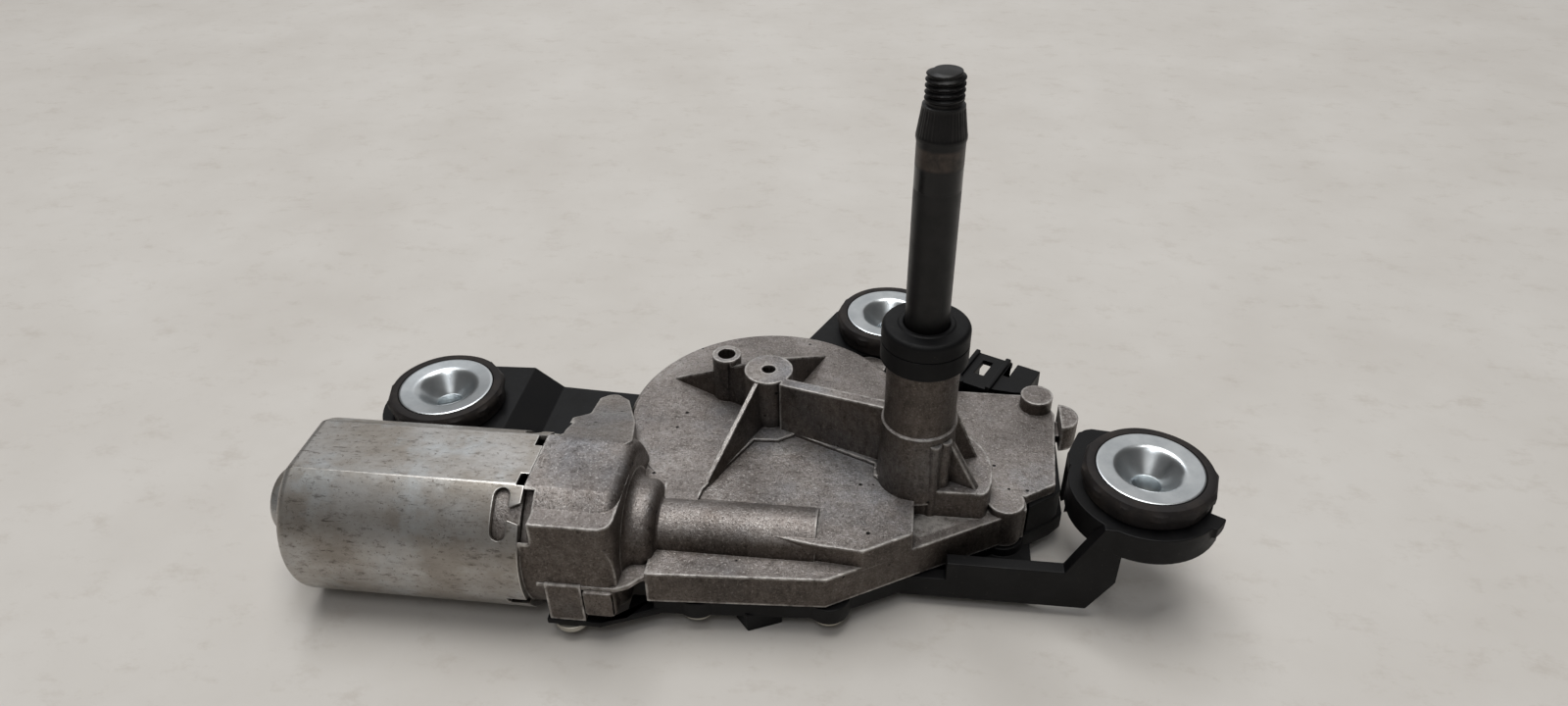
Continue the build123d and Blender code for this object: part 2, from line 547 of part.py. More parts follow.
def crank_pin():
    """Steel pin pressed in the wheel."""
    top = MOTOR_Z + 1.6
    pin = turned([(0, CRANK_PIN_END), (CRANK_PIN_R - 0.3, CRANK_PIN_END),
                  (CRANK_PIN_R, CRANK_PIN_END + 0.3), (CRANK_PIN_R, top), (0, top)])
    return Pos(CRANK_X, CRANK_Y, 0) * pin


def wheel_axle():
    """Fixed pin on which the wheel turns."""
    return disc(AXLE_R, WHEEL_BOTTOM - 1.8, 1.0, WHEEL_X, WHEEL_Y)


def wheel_washer():
    """Press-on retaining washer under the wheel's hub."""
    low = WHEEL_BOTTOM - 1.5
    return ring(AXLE_R + 1.1, AXLE_R, low, low + 0.8, WHEEL_X, WHEEL_Y)


def park_track():
    """Metal track for the park switch on the wheel's lower face."""
    outer, inner = WHEEL_PITCH_R - 4.6, 15.0
    low = MOTOR_Z - 2.0
    body = ring(outer, inner, low, low + 0.4)
    body -= block(inner + 4.5, outer + 1, -5.0, 5.0, low - 1, low + 1)
    return Pos(WHEEL_X, WHEEL_Y, 0) * Rot(0, 0, 110) * body


# ---------------------------------------------------------------- motor
def motor_can():
    """Drawn steel can with its bearing nose and the crimp windows at its mouth."""
    body = barrel(CAN_R, CAN_HALF_HEIGHT, CAN_END_X, CAN_MOUTH_X)
    body = fillet(body.edges().group_by(Axis.X)[0], CAN_END_EDGE_R)
    nose = on_motor_axis(turned([
        (0, CAN_NOSE_X), (CAN_NOSE_R - 2.5, CAN_NOSE_X), (CAN_NOSE_R - 0.6, CAN_NOSE_X + 1.2),
        (CAN_NOSE_R, CAN_NOSE_X + 3.5), (CAN_NOSE_R, CAN_END_X + 2), (0, CAN_END_X + 2),
    ]))
    body += nose
    hollow = barrel(CAN_R - CAN_WALL, CAN_HALF_HEIGHT - CAN_WALL, CAN_END_X + CAN_WALL,
                    CAN_MOUTH_X + 1)
    body -= fillet(hollow.edges().group_by(Axis.X)[0], CAN_END_EDGE_R - 1.0)
    body -= on_motor_axis(disc(CAN_NOSE_R - CAN_WALL, CAN_NOSE_X + CAN_WALL, CAN_END_X + 3))
    for side in (-1, 1):
        body -= crimp_window(side)
    return body


def crimp_window(side):
    """Lens-shaped window and V gap beside it that free the crimp tabs of the can's mouth."""
    at_mouth = Pos(CAN_MOUTH_X, MOTOR_Y, MOTOR_Z)
    slot_x = -CRIMP_WINDOW_GAP - CRIMP_WINDOW_WIDTH / 2
    slot = Pos(slot_x, 0) * SlotOverall(CRIMP_WINDOW_HEIGHT, CRIMP_WINDOW_WIDTH, rotation=90)
    gap = polygon([(slot_x, -0.6), (slot_x, 0.6), (1.0, 3.2), (1.0, -2.4)])
    window = Rot(side * CRIMP_ANGLE, 0, 0) * prism(slot + gap, 10, CAN_R + 3)
    notch = block(-5.0, 1.0, min(0, side * -30), max(0, side * -30), -9.6, -7.2)
    upper_notch = Rot(side * 20, 0, 0) * block(-2.0, 1.0, -1.8, 1.8, 10, CAN_R + 3)
    return at_mouth * (window + notch + upper_notch)


def field_magnets():
    """Two ferrite shells in the can's round sides."""
    outer = CAN_R - CAN_WALL
    body = ring(outer, outer - MAGNET_THICKNESS, -STACK_LENGTH / 2 - 1, STACK_LENGTH / 2 + 1)
    shells = []
    for side in (-1, 1):
        wedge = Rot(0, 0, 90 * side) * polygon([(0, 0), (30, -34), (50, 0), (30, 34)])
        shells.append(body & prism(wedge, -60, 60))
    pair = shells[0] + shells[1]
    return Pos(STACK_CENTRE_X, 0, 0) * on_motor_axis(pair)


def slot_shape(inner, outer, width):
    """One armature slot's plan: a radial bar with a narrow mouth."""
    return Pos((inner + outer) / 2, 0) * Rectangle(outer - inner, width)


def lamination_stack():
    """Slotted iron core."""
    plan = Circle(STACK_R) - Circle(MOTOR_SHAFT_R)
    for index in range(ARMATURE_SLOTS):
        turn = Rot(0, 0, 360 / ARMATURE_SLOTS * index)
        plan -= turn * slot_shape(8.0, 13.6, 2.6)
        plan -= turn * slot_shape(13.0, STACK_R + 1, 1.2)
    core = prism(plan, -STACK_LENGTH / 2, STACK_LENGTH / 2)
    return Pos(STACK_CENTRE_X, 0, 0) * on_motor_axis(core)


def windings():
    """Copper in the slots and the end turns on both sides of the core."""
    half = STACK_LENGTH / 2
    body = Part()
    for side in (-1, 1):
        profile = [(6.2, side * (half + 0.1)), (13.4, side * (half + 0.1)),
                   (13.0, side * (half + 4.5)), (9.5, side * (half + 6.5)),
                   (6.2, side * (half + 5.0))]
        body += turned(profile)
    for index in range(ARMATURE_SLOTS):
        turn = Rot(0, 0, 360 / ARMATURE_SLOTS * index)
        body += prism(turn * slot_shape(8.1, 13.4, 2.4), -half - 0.2, half + 0.2)
    return Pos(STACK_CENTRE_X, 0, 0) * on_motor_axis(body)


def commutator():
    """Copper segments with saw cuts on an insulating core."""
    half = COMMUTATOR_LENGTH / 2
    plan = Circle(COMMUTATOR_R) - Circle(MOTOR_SHAFT_R)
    for index in range(ARMATURE_SLOTS):
        turn = Rot(0, 0, 360 / ARMATURE_SLOTS * (index + 0.5))
        plan -= turn * slot_shape(COMMUTATOR_R - 1.2, COMMUTATOR_R + 1, 0.5)
    body = prism(plan, -half, half)
    body += ring(COMMUTATOR_R + 1.0, MOTOR_SHAFT_R, -half - 1.4, -half)
    return Pos(COMMUTATOR_X, 0, 0) * on_motor_axis(body)


def worm_thread():
    """Trapezoidal thread swept along its helix, from local z 0 to WORM_LENGTH."""
    pitch = pi * WORM_MODULE
    half_pitch = pitch / 4 - TOOTH_BACKLASH / 4
    slope = tan(radians(PRESSURE_ANGLE))
    foot_r = WORM_ROOT_R - 0.2
    tip = half_pitch - (WORM_TIP_R - WORM_PITCH_R) * slope
    foot = half_pitch + (WORM_PITCH_R - foot_r) * slope
    profile = Plane.XZ * polygon([(foot_r, -foot), (WORM_TIP_R, -tip), (WORM_TIP_R, tip),
                                  (foot_r, foot)])
    path = Helix(pitch, WORM_LENGTH, WORM_ROOT_R)
    return sweep(profile, path=path, is_frenet=True)


def armature_shaft():
    """Motor shaft with the worm rolled on its end."""
    worm_start = WHEEL_X - WORM_LENGTH / 2
    shaft = turned([
        (0, CAN_NOSE_X + 3.0), (MOTOR_SHAFT_R - 0.6, CAN_NOSE_X + 3.0),
        (MOTOR_SHAFT_R, CAN_NOSE_X + 3.6), (MOTOR_SHAFT_R, worm_start - 3.0),
        (WORM_ROOT_R, worm_start - 2.4), (WORM_ROOT_R, worm_start + WORM_LENGTH + 2.0),
        (3.0, worm_start + WORM_LENGTH + 3.0), (3.0, SHAFT_END_X - 0.6), (2.2, SHAFT_END_X),
        (0, SHAFT_END_X),
    ])
    # The thread's crest lies on the wheel's side at the gap that faces it.
    pitch = pi * WORM_MODULE
    steps = WORM_LENGTH / 2 / pitch
    thread = Pos(0, 0, worm_start) * Rot(0, 0, 90 - 360 * (steps - int(steps))) * worm_thread()
    return on_motor_axis(shaft + thread)


def rear_bearing():
    """Self-aligning sintered bush in the can's nose."""
    middle = CAN_NOSE_X + 5.0
    outer = CAN_NOSE_R - CAN_WALL
    return on_motor_axis(turned([
        (MOTOR_SHAFT_R + RUNNING_GAP, middle - 3.0), (outer - 1.0, middle - 3.0),
        (outer, middle - 1.2), (outer, middle + 1.2), (outer - 1.0, middle + 3.0),
        (MOTOR_SHAFT_R + RUNNING_GAP, middle + 3.0),
    ]))


def front_bearing():
    """Ball bearing in the housing, drawn as one ring with its shield grooves."""
    left, right = BLOCK_RIGHT_X - 1.0, BEARING_HOUSING_X - 1.5
    inner = MOTOR_SHAFT_R + RUNNING_GAP
    return on_motor_axis(turned([
        (inner, left), (inner + 1.5, left), (inner + 1.5, left + 0.6), (8.0, left + 0.6),
        (8.0, left), (9.5, left), (9.5, right), (8.0, right), (8.0, right - 0.6),
        (inner + 1.5, right - 0.6), (inner + 1.5, right), (inner, right),
    ]))


def thrust_pad():
    """Hard pad at the end of the shaft's bore."""
    return on_motor_axis(disc(THRUST_PAD_R, SHAFT_END_X + RUNNING_GAP, THRUST_PAD_END_X))


def brush_plate():
    """Insulating plate with the two brush boxes."""
    x = COMMUTATOR_X - 1.0
    plate = ring(MOTOR_CAVITY_R, COMMUTATOR_R + 2.0, -1.1, 1.1)
    plate &= block(-MOTOR_CAVITY_HALF_HEIGHT + 0.2, MOTOR_CAVITY_HALF_HEIGHT - 0.2, -20, 20, -2, 2)
    for side in (-1, 1):
        box = (block(-3.9, 3.9, COMMUTATOR_R + 2.3, MOTOR_CAVITY_R - 0.6, 1.0, 8.4)
               - block(-2.9, 2.9, COMMUTATOR_R + 1.5, MOTOR_CAVITY_R + 1, 2.0, 7.4))
        plate += Rot(0, 0, 90 + 90 * side) * box
    return on_motor_axis(Pos(0, 0, x) * plate)


def carbon_brushes():
    """Two carbon blocks that press on the commutator."""
    x = COMMUTATOR_X - 1.0
    brush = block(-2.8, 2.8, COMMUTATOR_R + 0.3, BRUSH_OUTER_R, 2.1, 2.1 + BRUSH_SIZE)
    pair = brush + Rot(0, 0, 180) * brush
    return on_motor_axis(Pos(0, 0, x) * pair)


def brush_springs():
    """Two coil springs behind the brushes, each as its closed outer sleeve."""
    x = COMMUTATOR_X - 1.0
    length = MOTOR_CAVITY_R - 0.7 - BRUSH_OUTER_R
    spring = Pos(0, BRUSH_OUTER_R + length / 2, 2.1 + BRUSH_SIZE / 2) * Rot(-90, 0, 0) * (
        Cylinder(2.2, length) - Cylinder(1.4, length + 1))
    pair = spring + Rot(0, 0, 180) * spring
    return on_motor_axis(Pos(0, 0, x) * pair)


# ---------------------------------------------------------------- mounting points
def mounting_bush(name):
    """Dished steel bush: rim, dish and sleeve pressed from one sheet."""
    x, y, z = LUGS[name]
    sleeve_r = BUSH_HOLE_R + BUSH_SHEET
    bottom = -GROMMET_SEAT - LUG_PLATE - 4.6
    body = turned([
        (BUSH_RIM_R, -BUSH_SHEET + 0.3), (BUSH_RIM_R, -0.3), (BUSH_RIM_R - 0.3, 0.0),
        (BUSH_RIM_R - 2.4, 0.0), (BUSH_RIM_R - 3.8, -0.5), (BUSH_RIM_R - 6.2, -2.6),
        (sleeve_r + 0.6, -DISH_DEPTH + 0.8), (BUSH_HOLE_R, -DISH_DEPTH), (BUSH_HOLE_R, bottom),
        (sleeve_r, bottom), (sleeve_r, -DISH_DEPTH - 1.2), (BUSH_RIM_R - 5.8, -3.9),
        (BUSH_RIM_R - 3.4, -1.8), (BUSH_RIM_R - 2.3, -BUSH_SHEET),
        (BUSH_RIM_R - 0.3, -BUSH_SHEET),
    ])
    return Pos(x, y, z) * body


def grommet(name):
    """Rubber grommet with a lobed rim, snapped in the lug."""
    x, y, z = LUGS[name]
    seat = -GROMMET_SEAT
    under = seat - LUG_PLATE
    sleeve_r = BUSH_HOLE_R + BUSH_SHEET + 0.1
    body = turned([
        (BUSH_RIM_R, -0.5), (BUSH_RIM_R + 0.7, 0.0), (GROMMET_R - 0.5, 0.0),
        (GROMMET_R, -0.6), (GROMMET_R, seat), (GROMMET_NECK_R, seat), (GROMMET_NECK_R, under),
        (GROMMET_R - 1.0, under), (GROMMET_R - 1.6, under - 3.4), (GROMMET_R - 3.0, under - 4.2),
        (sleeve_r, under - 4.2), (sleeve_r, -DISH_DEPTH - 1.4), (BUSH_RIM_R - 5.7, -4.05),
        (BUSH_RIM_R - 3.3, -1.95), (BUSH_RIM_R - 2.2, -BUSH_SHEET - 0.15),
        (BUSH_RIM_R + 0.1, -BUSH_SHEET - 0.15),
    ])
    rim = prism(RegularPolygon(GROMMET_R + 0.9, 12) - Circle(GROMMET_R - 1), -3.0, -0.5)
    return Pos(x, y, z) * (body + rim)


# ---------------------------------------------------------------- cover and bracket
def ear_lobe(name, far, radius=3.0):
    """Rounded lobe that runs out from a lug's ring plate to a point."""
    x, y, z = LUGS[name]
    top = z - GROMMET_SEAT
    reach = hypot(far[0] - x, far[1] - y)
    along = Pos(x, y) * Rot(0, 0, degrees(atan2(far[1] - y, far[0] - x)))
    plan = along * (Pos(reach / 2, 0) * Rectangle(reach, 2 * radius) + Pos(reach, 0) * Circle(radius))
    foot = along * polygon([(0, -9.0), (0, 9.0), (reach, radius), (reach, -radius)])
    plan = plan + foot - Pos(x, y) * Circle(GROMMET_NECK_R + 0.1)
    return prism(plan, top - LUG_PLATE, top)


def lug(name):
    """Ring plate with its skirt that holds one grommet."""
    x, y, z = LUGS[name]
    top = z - GROMMET_SEAT
    body = ring(LUG_R, GROMMET_NECK_R + 0.1, top - LUG_PLATE, top, x, y)
    return body + ring(LUG_R, LUG_R - 2.4, top - LUG_PLATE - 4.6, top, x, y)


def channel(plan, side, drop, wall):
    """Arm open below: a plan outline cut by a side profile, with the same less a wall taken out."""
    outer = prism(plan, -60, 20) & side
    inner = prism(offset(plan, -wall, kind=Kind.INTERSECTION), -60, 20) & Pos(0, 0, -drop) * side
    return outer - inner


def arm_end(plan, top):
    """Wall along the casting's dome that closes an arm's inner end."""
    near = plan & Pos(WHEEL_X, WHEEL_Y) * Circle(DOME_R + 1.5)
    return prism(near, COVER_BOTTOM, top)


def left_arm():
    """Sloping channel from the left lug to the cover."""
    x, y, z = LUGS["left"]
    top = z - GROMMET_SEAT
    plan = polygon([(x, y + 17.9), (-109.2, 35.6), (-72.0, 33.4), (-72.0, 6.0), (-103.0, 5.0),
                    (x + 10.0, y - 12.0)])
    side = web((-140, 20), (-60, 20), [
        (0, top), (30.5, top), (38.5, top - 6.0), (80, top - 6.0), (80, COVER_BOTTOM),
        (48, COVER_BOTTOM), (26, top - 7.6), (0, top - 7.6)], 100)
    body = channel(plan, side, LUG_PLATE, COVER_WALL)
    body += arm_end(plan, top - 6.0)
    return body - disc(LUG_R - 1, -60, 20, x, y)


def rear_arm():
    """Channel from the rear lug down to the cover, behind the dome."""
    x, y, z = LUGS["rear"]
    top = z - GROMMET_SEAT
    plan = polygon([(-34.0, 54.5), (-25.3, 73.7), (x, y + 14), (x + 17.0, y + 3), (13.0, 41.5),
                    (-8.0, 38.0), (-33, 48)])
    side = web((x, 30), (x, 90), [(0, COVER_BOTTOM), (0, top), (60, top), (60, top - 7.6),
                                  (40, top - 7.6), (24, COVER_BOTTOM)], 100)
    body = channel(plan, side, LUG_PLATE, COVER_WALL)
    body += arm_end(plan, top)
    return body - disc(LUG_R - 1, -60, 20, x, y)


def right_arm():
    """Front beam that climbs to the right lug, and the short web behind it."""
    x, y, z = LUGS["right"]
    top = z - GROMMET_SEAT
    under = top - LUG_PLATE - 4.6
    beam_y = BEAM_FRONT_Y + BEAM_THICKNESS / 2
    body = web((0, beam_y), (60, beam_y), [
        (-6, BEAM_BOTTOM), (-6, COVER_RIM), (8.5, COVER_RIM), (8.5, BEAM_TOP), (36, BEAM_TOP),
        (43, top), (58, top), (58, under), (52.3, under - 2.0), (42.5, BEAM_BOTTOM)],
        BEAM_THICKNESS)
    body += web((38.0, 9.0), (x, 9.0), [(0, -24), (0, -9), (4, top), (16, top), (16, under)], 2.6)
    body += web((38.0, -1.0), (x, -1.0), [(0, -20), (0, -11), (4, top - 1), (16, top - 1),
                                          (16, under)], 2.6)
    floor = polygon([(-6, BEAM_FRONT_Y), (30, BEAM_FRONT_Y), (30, -3), (2, -17)])
    body += prism(floor, COVER_BOTTOM, FLOOR_TOP)
    return body - disc(LUG_R - 1, -60, 20, x, y)


def connector_place(shape):
    """Puts a shape from the connector's own frame in the part: +Y there is out of the mouth."""
    return Pos(CONNECTOR_X, CONNECTOR_Y, CONNECTOR_TOP) * Rot(0, 0, CONNECTOR_TURN) * shape


def connector_socket():
    """Shroud with its latch bridge and the foot below it."""
    half_w, half_d = CONNECTOR_WIDTH / 2, CONNECTOR_DEPTH / 2
    shroud = block(-half_w, half_w, -half_d, half_d, -CONNECTOR_HEIGHT, 0)
    shroud -= block(-half_w + CONNECTOR_WALL, half_w - CONNECTOR_WALL, -half_d + CONNECTOR_BACK,
                    half_d + 1, -CONNECTOR_HEIGHT + CONNECTOR_WALL, -CONNECTOR_WALL)
    shroud -= block(-6.2, -3.4, -2.0, 5.0, -CONNECTOR_WALL - 1, 1)
    shroud += block(-0.6, 1.0, -half_d, half_d, 0, 1.0)
    shroud += block(-half_w, -half_w + 1.4, -half_d, half_d, 0, 1.0)
    shroud -= block(1.6, 3.0, 1.0, half_d + 1, -CONNECTOR_WALL - 1, 1)
    foot = block(-half_w + 2, half_w - 2, -half_d + 1, -half_d + 4, BASE_Z - CONNECTOR_TOP,
                 -CONNECTOR_HEIGHT + 0.5)
    return connector_place(shroud + foot)


def cover_bracket():
    """Moulded cover: tray under the housing, three arms with lugs and the connector."""
    dome = Pos(WHEEL_X, WHEEL_Y) * Circle(DOME_R)
    flange = polygon(FLANGE_POINTS) + dome
    outer = offset(flange, -COVER_INSET, kind=Kind.INTERSECTION)
    inner = offset(flange, -COVER_INSET - COVER_WALL, kind=Kind.INTERSECTION)
    extension = polygon([(24.0, -3.6), (28.0, -3.0), (35.6, 2.6), (38.6, 6.0), (38.6, 36.5),
                         (35.0, 41.2), (24.0, 39.0)])
    body = prism(outer, COVER_BOTTOM, COVER_RIM)
    body += prism(extension, COVER_BOTTOM, COVER_RIM)
    walls = polygon([(28.6, -2.2), (35.2, 2.8), (37.0, 5.0), (37.6, 36.0), (34.0, 39.6), (28.6, 39.6)])
    body += prism(walls, COVER_BOTTOM, LINK_CHAMBER_TOP - 0.1)
    body += left_arm() + rear_arm() + right_arm()
    for name in LUGS:
        body += lug(name)
    body += ear_lobe("right", (43.9, 13.2)) + ear_lobe("right", (70.6, -14.8))
    body -= prism(inner, FLOOR_TOP, COVER_RIM + 0.1)
    body -= prism(offset(walls, -COVER_WALL, kind=Kind.INTERSECTION), FLOOR_TOP, 0)
    body += connector_socket()
    body -= clearance_for_housing()
    body += prism(polygon([(-41.5, -29.0), (-38.0, -33.0), (-30.0, -29.4)]), BASE_Z,
                  COVER_BOTTOM + 1)
    body += prism(polygon([(-85.0, -39.8), (-85.0, -34.6), (-74.0, -34.6), (-66.0, -30.0),
                           (-59.0, -30.0), (-59.0, -33.6), (-72.0, -39.8)]),
                  BLOCK_SCREW[2], BLOCK_SCREW[2] + 1.6) - clearance_for_housing()
    for x, y, face, tip in TRAY_SCREWS:
        tall = tip > RIGHT_PLATE_TOP
        body += disc(4.0 if tall else 5.2, COVER_BOTTOM, LINK_CHAMBER_TOP if tall else COVER_RIM, x, y)
    for x, y, face, tip in SCREWS:
        body -= disc(SCREW_R, -60, COVER_RIM + 30, x, y)
    return body


def clearance_for_housing():
    """Room that the arms leave for the casting and the can."""
    gap = 0.5
    dome = Pos(WHEEL_X, WHEEL_Y) * Circle(DOME_R + gap)
    flange = offset(polygon(FLANGE_POINTS), gap, kind=Kind.INTERSECTION) + dome
    room = prism(flange, COVER_RIM, 20)
    room += prism(offset(polygon(RIGHT_PLATE_POINTS), gap, kind=Kind.INTERSECTION),
                  LINK_CHAMBER_TOP, 20)
    room += disc(4.5 + gap, COVER_RIM, 20, -13.6, 46.8)
    room += barrel(CAN_R + gap, CAN_HALF_HEIGHT + gap, CAN_NOSE_X, BLOCK_RIGHT_X + gap)
    room += block(-84.5, BLOCK_RIGHT_X + gap, -40.1, -20, -29.2, 0)
    room += on_motor_axis(disc(BEARING_HOUSING_R + gap, BLOCK_RIGHT_X, BEARING_HOUSING_X + gap))
    return room


def housing_gasket():
    """Flat gasket between the casting and the cover."""
    dome = Pos(WHEEL_X, WHEEL_Y) * Circle(DOME_R)
    flange = polygon(FLANGE_POINTS) + dome
    outer = offset(flange, -COVER_INSET, kind=Kind.INTERSECTION)
    inner = offset(flange, -COVER_INSET - 1.3, kind=Kind.INTERSECTION)
    body = prism(outer - inner, COVER_RIM, FLANGE_BOTTOM)
    body -= barrel(CAN_R + 0.3, CAN_HALF_HEIGHT, CAN_MOUTH_X, BLOCK_RIGHT_X + 0.3)
    for x, y, face, tip in TRAY_SCREWS:
        body -= disc(SCREW_R, COVER_RIM - 1, FLANGE_BOTTOM + 1, x, y)
    return body


def cover_screws():
    """Seven pan-head screws with a hexalobular recess."""
    group = Part()
    for x, y, face, tip in SCREWS:
        screw = turned([
            (0, face - SCREW_HEAD_HEIGHT), (SCREW_HEAD_R - 1.2, face - SCREW_HEAD_HEIGHT),
            (SCREW_HEAD_R, face - SCREW_HEAD_HEIGHT + 1.2), (SCREW_HEAD_R, face), (SCREW_R, face),
            (SCREW_R, tip - 1), (SCREW_R - 1, tip), (0, tip),
        ])
        screw -= prism(RegularPolygon(2.0, 6), face - SCREW_HEAD_HEIGHT - 1,
                       face - SCREW_HEAD_HEIGHT + 1.4)
        group += Pos(x, y, 0) * screw
    return group


def connector_terminals():
    """Blade terminals in the connector."""
    spacing = (CONNECTOR_WIDTH - 2 * CONNECTOR_WALL) / TERMINAL_COUNT
    group = Part()
    for index in range(TERMINAL_COUNT):
        x = spacing * (index - (TERMINAL_COUNT - 1) / 2)
        group += block(x - 0.9, x + 0.9, -CONNECTOR_DEPTH / 2 + CONNECTOR_BACK, CONNECTOR_DEPTH / 2 - 3.0,
                       -CONNECTOR_HEIGHT / 2 - 0.4, -CONNECTOR_HEIGHT / 2 + 0.4)
    return connector_place(group)


def park_contacts():
    """Three spring strips from the cover's floor up to the wheel's track."""
    group = Part()
    for index in range(3):
        x = -66.0 + 3.6 * index
        reach = [(0, FLOOR_TOP), (7.0, FLOOR_TOP), (7.0, FLOOR_TOP + 0.5), (1.2, FLOOR_TOP + 0.5),
                 (13.0, MOTOR_Z - 2.9), (15.0, MOTOR_Z - 2.4), (14.6, MOTOR_Z - 2.2),
                 (12.6, MOTOR_Z - 2.5), (0, FLOOR_TOP + 0.6)]
        group += web((x, 31.0), (x, 10.0), reach, 1.6)
    return group


def bush(low):
    """Sintered bearing bush of the spindle."""
    return ring(BUSH_R, SHAFT_R + RUNNING_GAP, low, low + BUSH_LENGTH)


# ---------------------------------------------------------------- write the parts
NODES = {
    "gear_housing": gear_housing,
    "motor_can": motor_can,
    "field_magnets": field_magnets,
    "brush_plate": brush_plate,
    "carbon_brushes": carbon_brushes,
    "brush_springs": brush_springs,
    "rear_bearing": rear_bearing,
    "front_bearing": front_bearing,
    "thrust_pad": thrust_pad,
    "wheel_axle": wheel_axle,
    "wheel_washer": wheel_washer,
    "spindle_bush_lower": lambda: bush(TOWER_BOTTOM),
    "spindle_bush_upper": lambda: bush(TOWER_TOP - BUSH_LENGTH),
    "shaft_seal": shaft_seal,
    "spindle_cap": spindle_cap,
    "cover_bracket": cover_bracket,
    "housing_gasket": housing_gasket,
    "cover_screws": cover_screws,
    "connector_terminals": connector_terminals,
    "park_contacts": park_contacts,
    "armature_shaft": armature_shaft,
    "lamination_stack": lamination_stack,
    "windings": windings,
    "commutator": commutator,
    "worm_wheel": worm_wheel,
    "crank_pin": crank_pin,
    "park_track": park_track,
    "spindle": spindle,
    "output_pinion": output_pinion,
    "spindle_clip": spindle_clip,
    "rocker_link": rocker_link,
    "coupler_pivot": coupler_pivot,
    "toothed_coupler": toothed_coupler,
}
for lug_name in LUGS:
    NODES["grommet_" + lug_name] = lambda name=lug_name: grommet(name)
    NODES["bush_" + lug_name] = lambda name=lug_name: mounting_bush(name)

os.makedirs("parts", exist_ok=True)
for node, make in NODES.items():
    export_step(make(), os.path.join("parts", node + ".step"))
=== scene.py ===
# %% [markdown]
# # A rear wiper motor, dressed for the camera
# The solids of this wiper motor come from a CAD model.  This script loads them as a fixed
# frame, gives every piece the surface its real material has, with painted shade and highlights
# on the casting and the can, and builds finer versions of the pieces that the eye reads closely:
# the threaded spindle, its cap, the dished bushes and their rubber rings.

# %% Load the imported frame
import json
import math

import bmesh
import bpy
import numpy as np
from mathutils import Matrix, Vector

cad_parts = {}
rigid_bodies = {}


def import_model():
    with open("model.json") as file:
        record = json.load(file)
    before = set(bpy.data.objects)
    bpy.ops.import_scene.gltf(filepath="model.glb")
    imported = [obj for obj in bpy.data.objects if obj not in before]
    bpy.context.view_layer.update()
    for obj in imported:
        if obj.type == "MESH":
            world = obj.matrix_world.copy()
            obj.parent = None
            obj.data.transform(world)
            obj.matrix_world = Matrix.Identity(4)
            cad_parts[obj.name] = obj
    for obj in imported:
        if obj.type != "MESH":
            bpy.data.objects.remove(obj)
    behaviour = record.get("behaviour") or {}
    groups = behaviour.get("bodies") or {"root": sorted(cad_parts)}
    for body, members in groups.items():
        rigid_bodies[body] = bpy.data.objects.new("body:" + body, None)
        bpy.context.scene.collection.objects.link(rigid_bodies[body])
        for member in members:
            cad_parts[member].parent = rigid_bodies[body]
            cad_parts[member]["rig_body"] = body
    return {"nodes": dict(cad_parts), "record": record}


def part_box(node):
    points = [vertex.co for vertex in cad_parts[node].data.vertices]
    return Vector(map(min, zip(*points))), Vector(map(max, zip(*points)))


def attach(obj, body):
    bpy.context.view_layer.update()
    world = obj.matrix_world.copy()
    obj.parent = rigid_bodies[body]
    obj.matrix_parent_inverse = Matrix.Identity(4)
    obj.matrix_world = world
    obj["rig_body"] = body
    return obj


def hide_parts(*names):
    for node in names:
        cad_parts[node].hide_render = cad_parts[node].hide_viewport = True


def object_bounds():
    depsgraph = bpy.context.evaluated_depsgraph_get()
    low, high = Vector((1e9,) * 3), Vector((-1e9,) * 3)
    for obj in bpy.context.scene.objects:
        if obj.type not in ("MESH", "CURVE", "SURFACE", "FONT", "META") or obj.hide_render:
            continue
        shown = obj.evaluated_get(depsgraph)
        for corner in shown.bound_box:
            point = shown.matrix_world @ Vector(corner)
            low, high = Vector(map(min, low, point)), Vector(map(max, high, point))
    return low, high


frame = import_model()
CAD_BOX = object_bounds()
MM = 0.001
SLOT_OF = {row["node"]: row["material_slot"] for row in frame["record"]["subparts"]}
print("box of the CAD model in mm:", [[round(v / MM, 1) for v in corner] for corner in CAD_BOX])


# %% Places and sizes read from the frame
def node_box(node):
    """Least and greatest corner of a CAD node in millimetres."""
    low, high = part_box(node)
    return np.array(low) / MM, np.array(high) / MM


LUGS = {}
for side in ("left", "right", "rear"):
    low, high = node_box("bush_" + side)
    LUGS[side] = np.array([(low[0] + high[0]) / 2, (low[1] + high[1]) / 2, high[2]])
# Boxes are in single precision: rounding to hundredths gives back the drawing's own sizes.
CAN_LOW, CAN_HIGH = node_box("motor_can")
MOTOR_AXIS = ((CAN_LOW[1:] + CAN_HIGH[1:]) / 2).round(2)
WHEEL_XY = (sum(node_box("worm_wheel"))[:2] / 2).round(2)
print("middle of each bush's rim:", {side: np.round(rim, 2).tolist() for side, rim in LUGS.items()})
print("motor's axis at y, z:", MOTOR_AXIS, " wheel's axle at x, y:", WHEEL_XY)

# %% [markdown]
# ## The camera
# The unit lies on a table and is seen from the front, a little from above.  The camera's place,
# its tilt and its small roll are set in the object's own frame, so that the spindle stands
# where it should and the motor can points to the left.

# %% Camera
IMAGE_WIDTH, FOCAL_PIXELS, SENSOR_WIDTH = 1600, 1054.28, 36.0
CAMERA_PLACE = (-6.73, -194.71, 163.29)
CAMERA_DOWN, CAMERA_HEADING, CAMERA_ROLL = 35.4, 7.5, -1.003


def placed(name, data):
    """A new object that holds data, at the scene's origin."""
    holder = bpy.data.objects.new(name, data)
    bpy.context.scene.collection.objects.link(holder)
    return holder


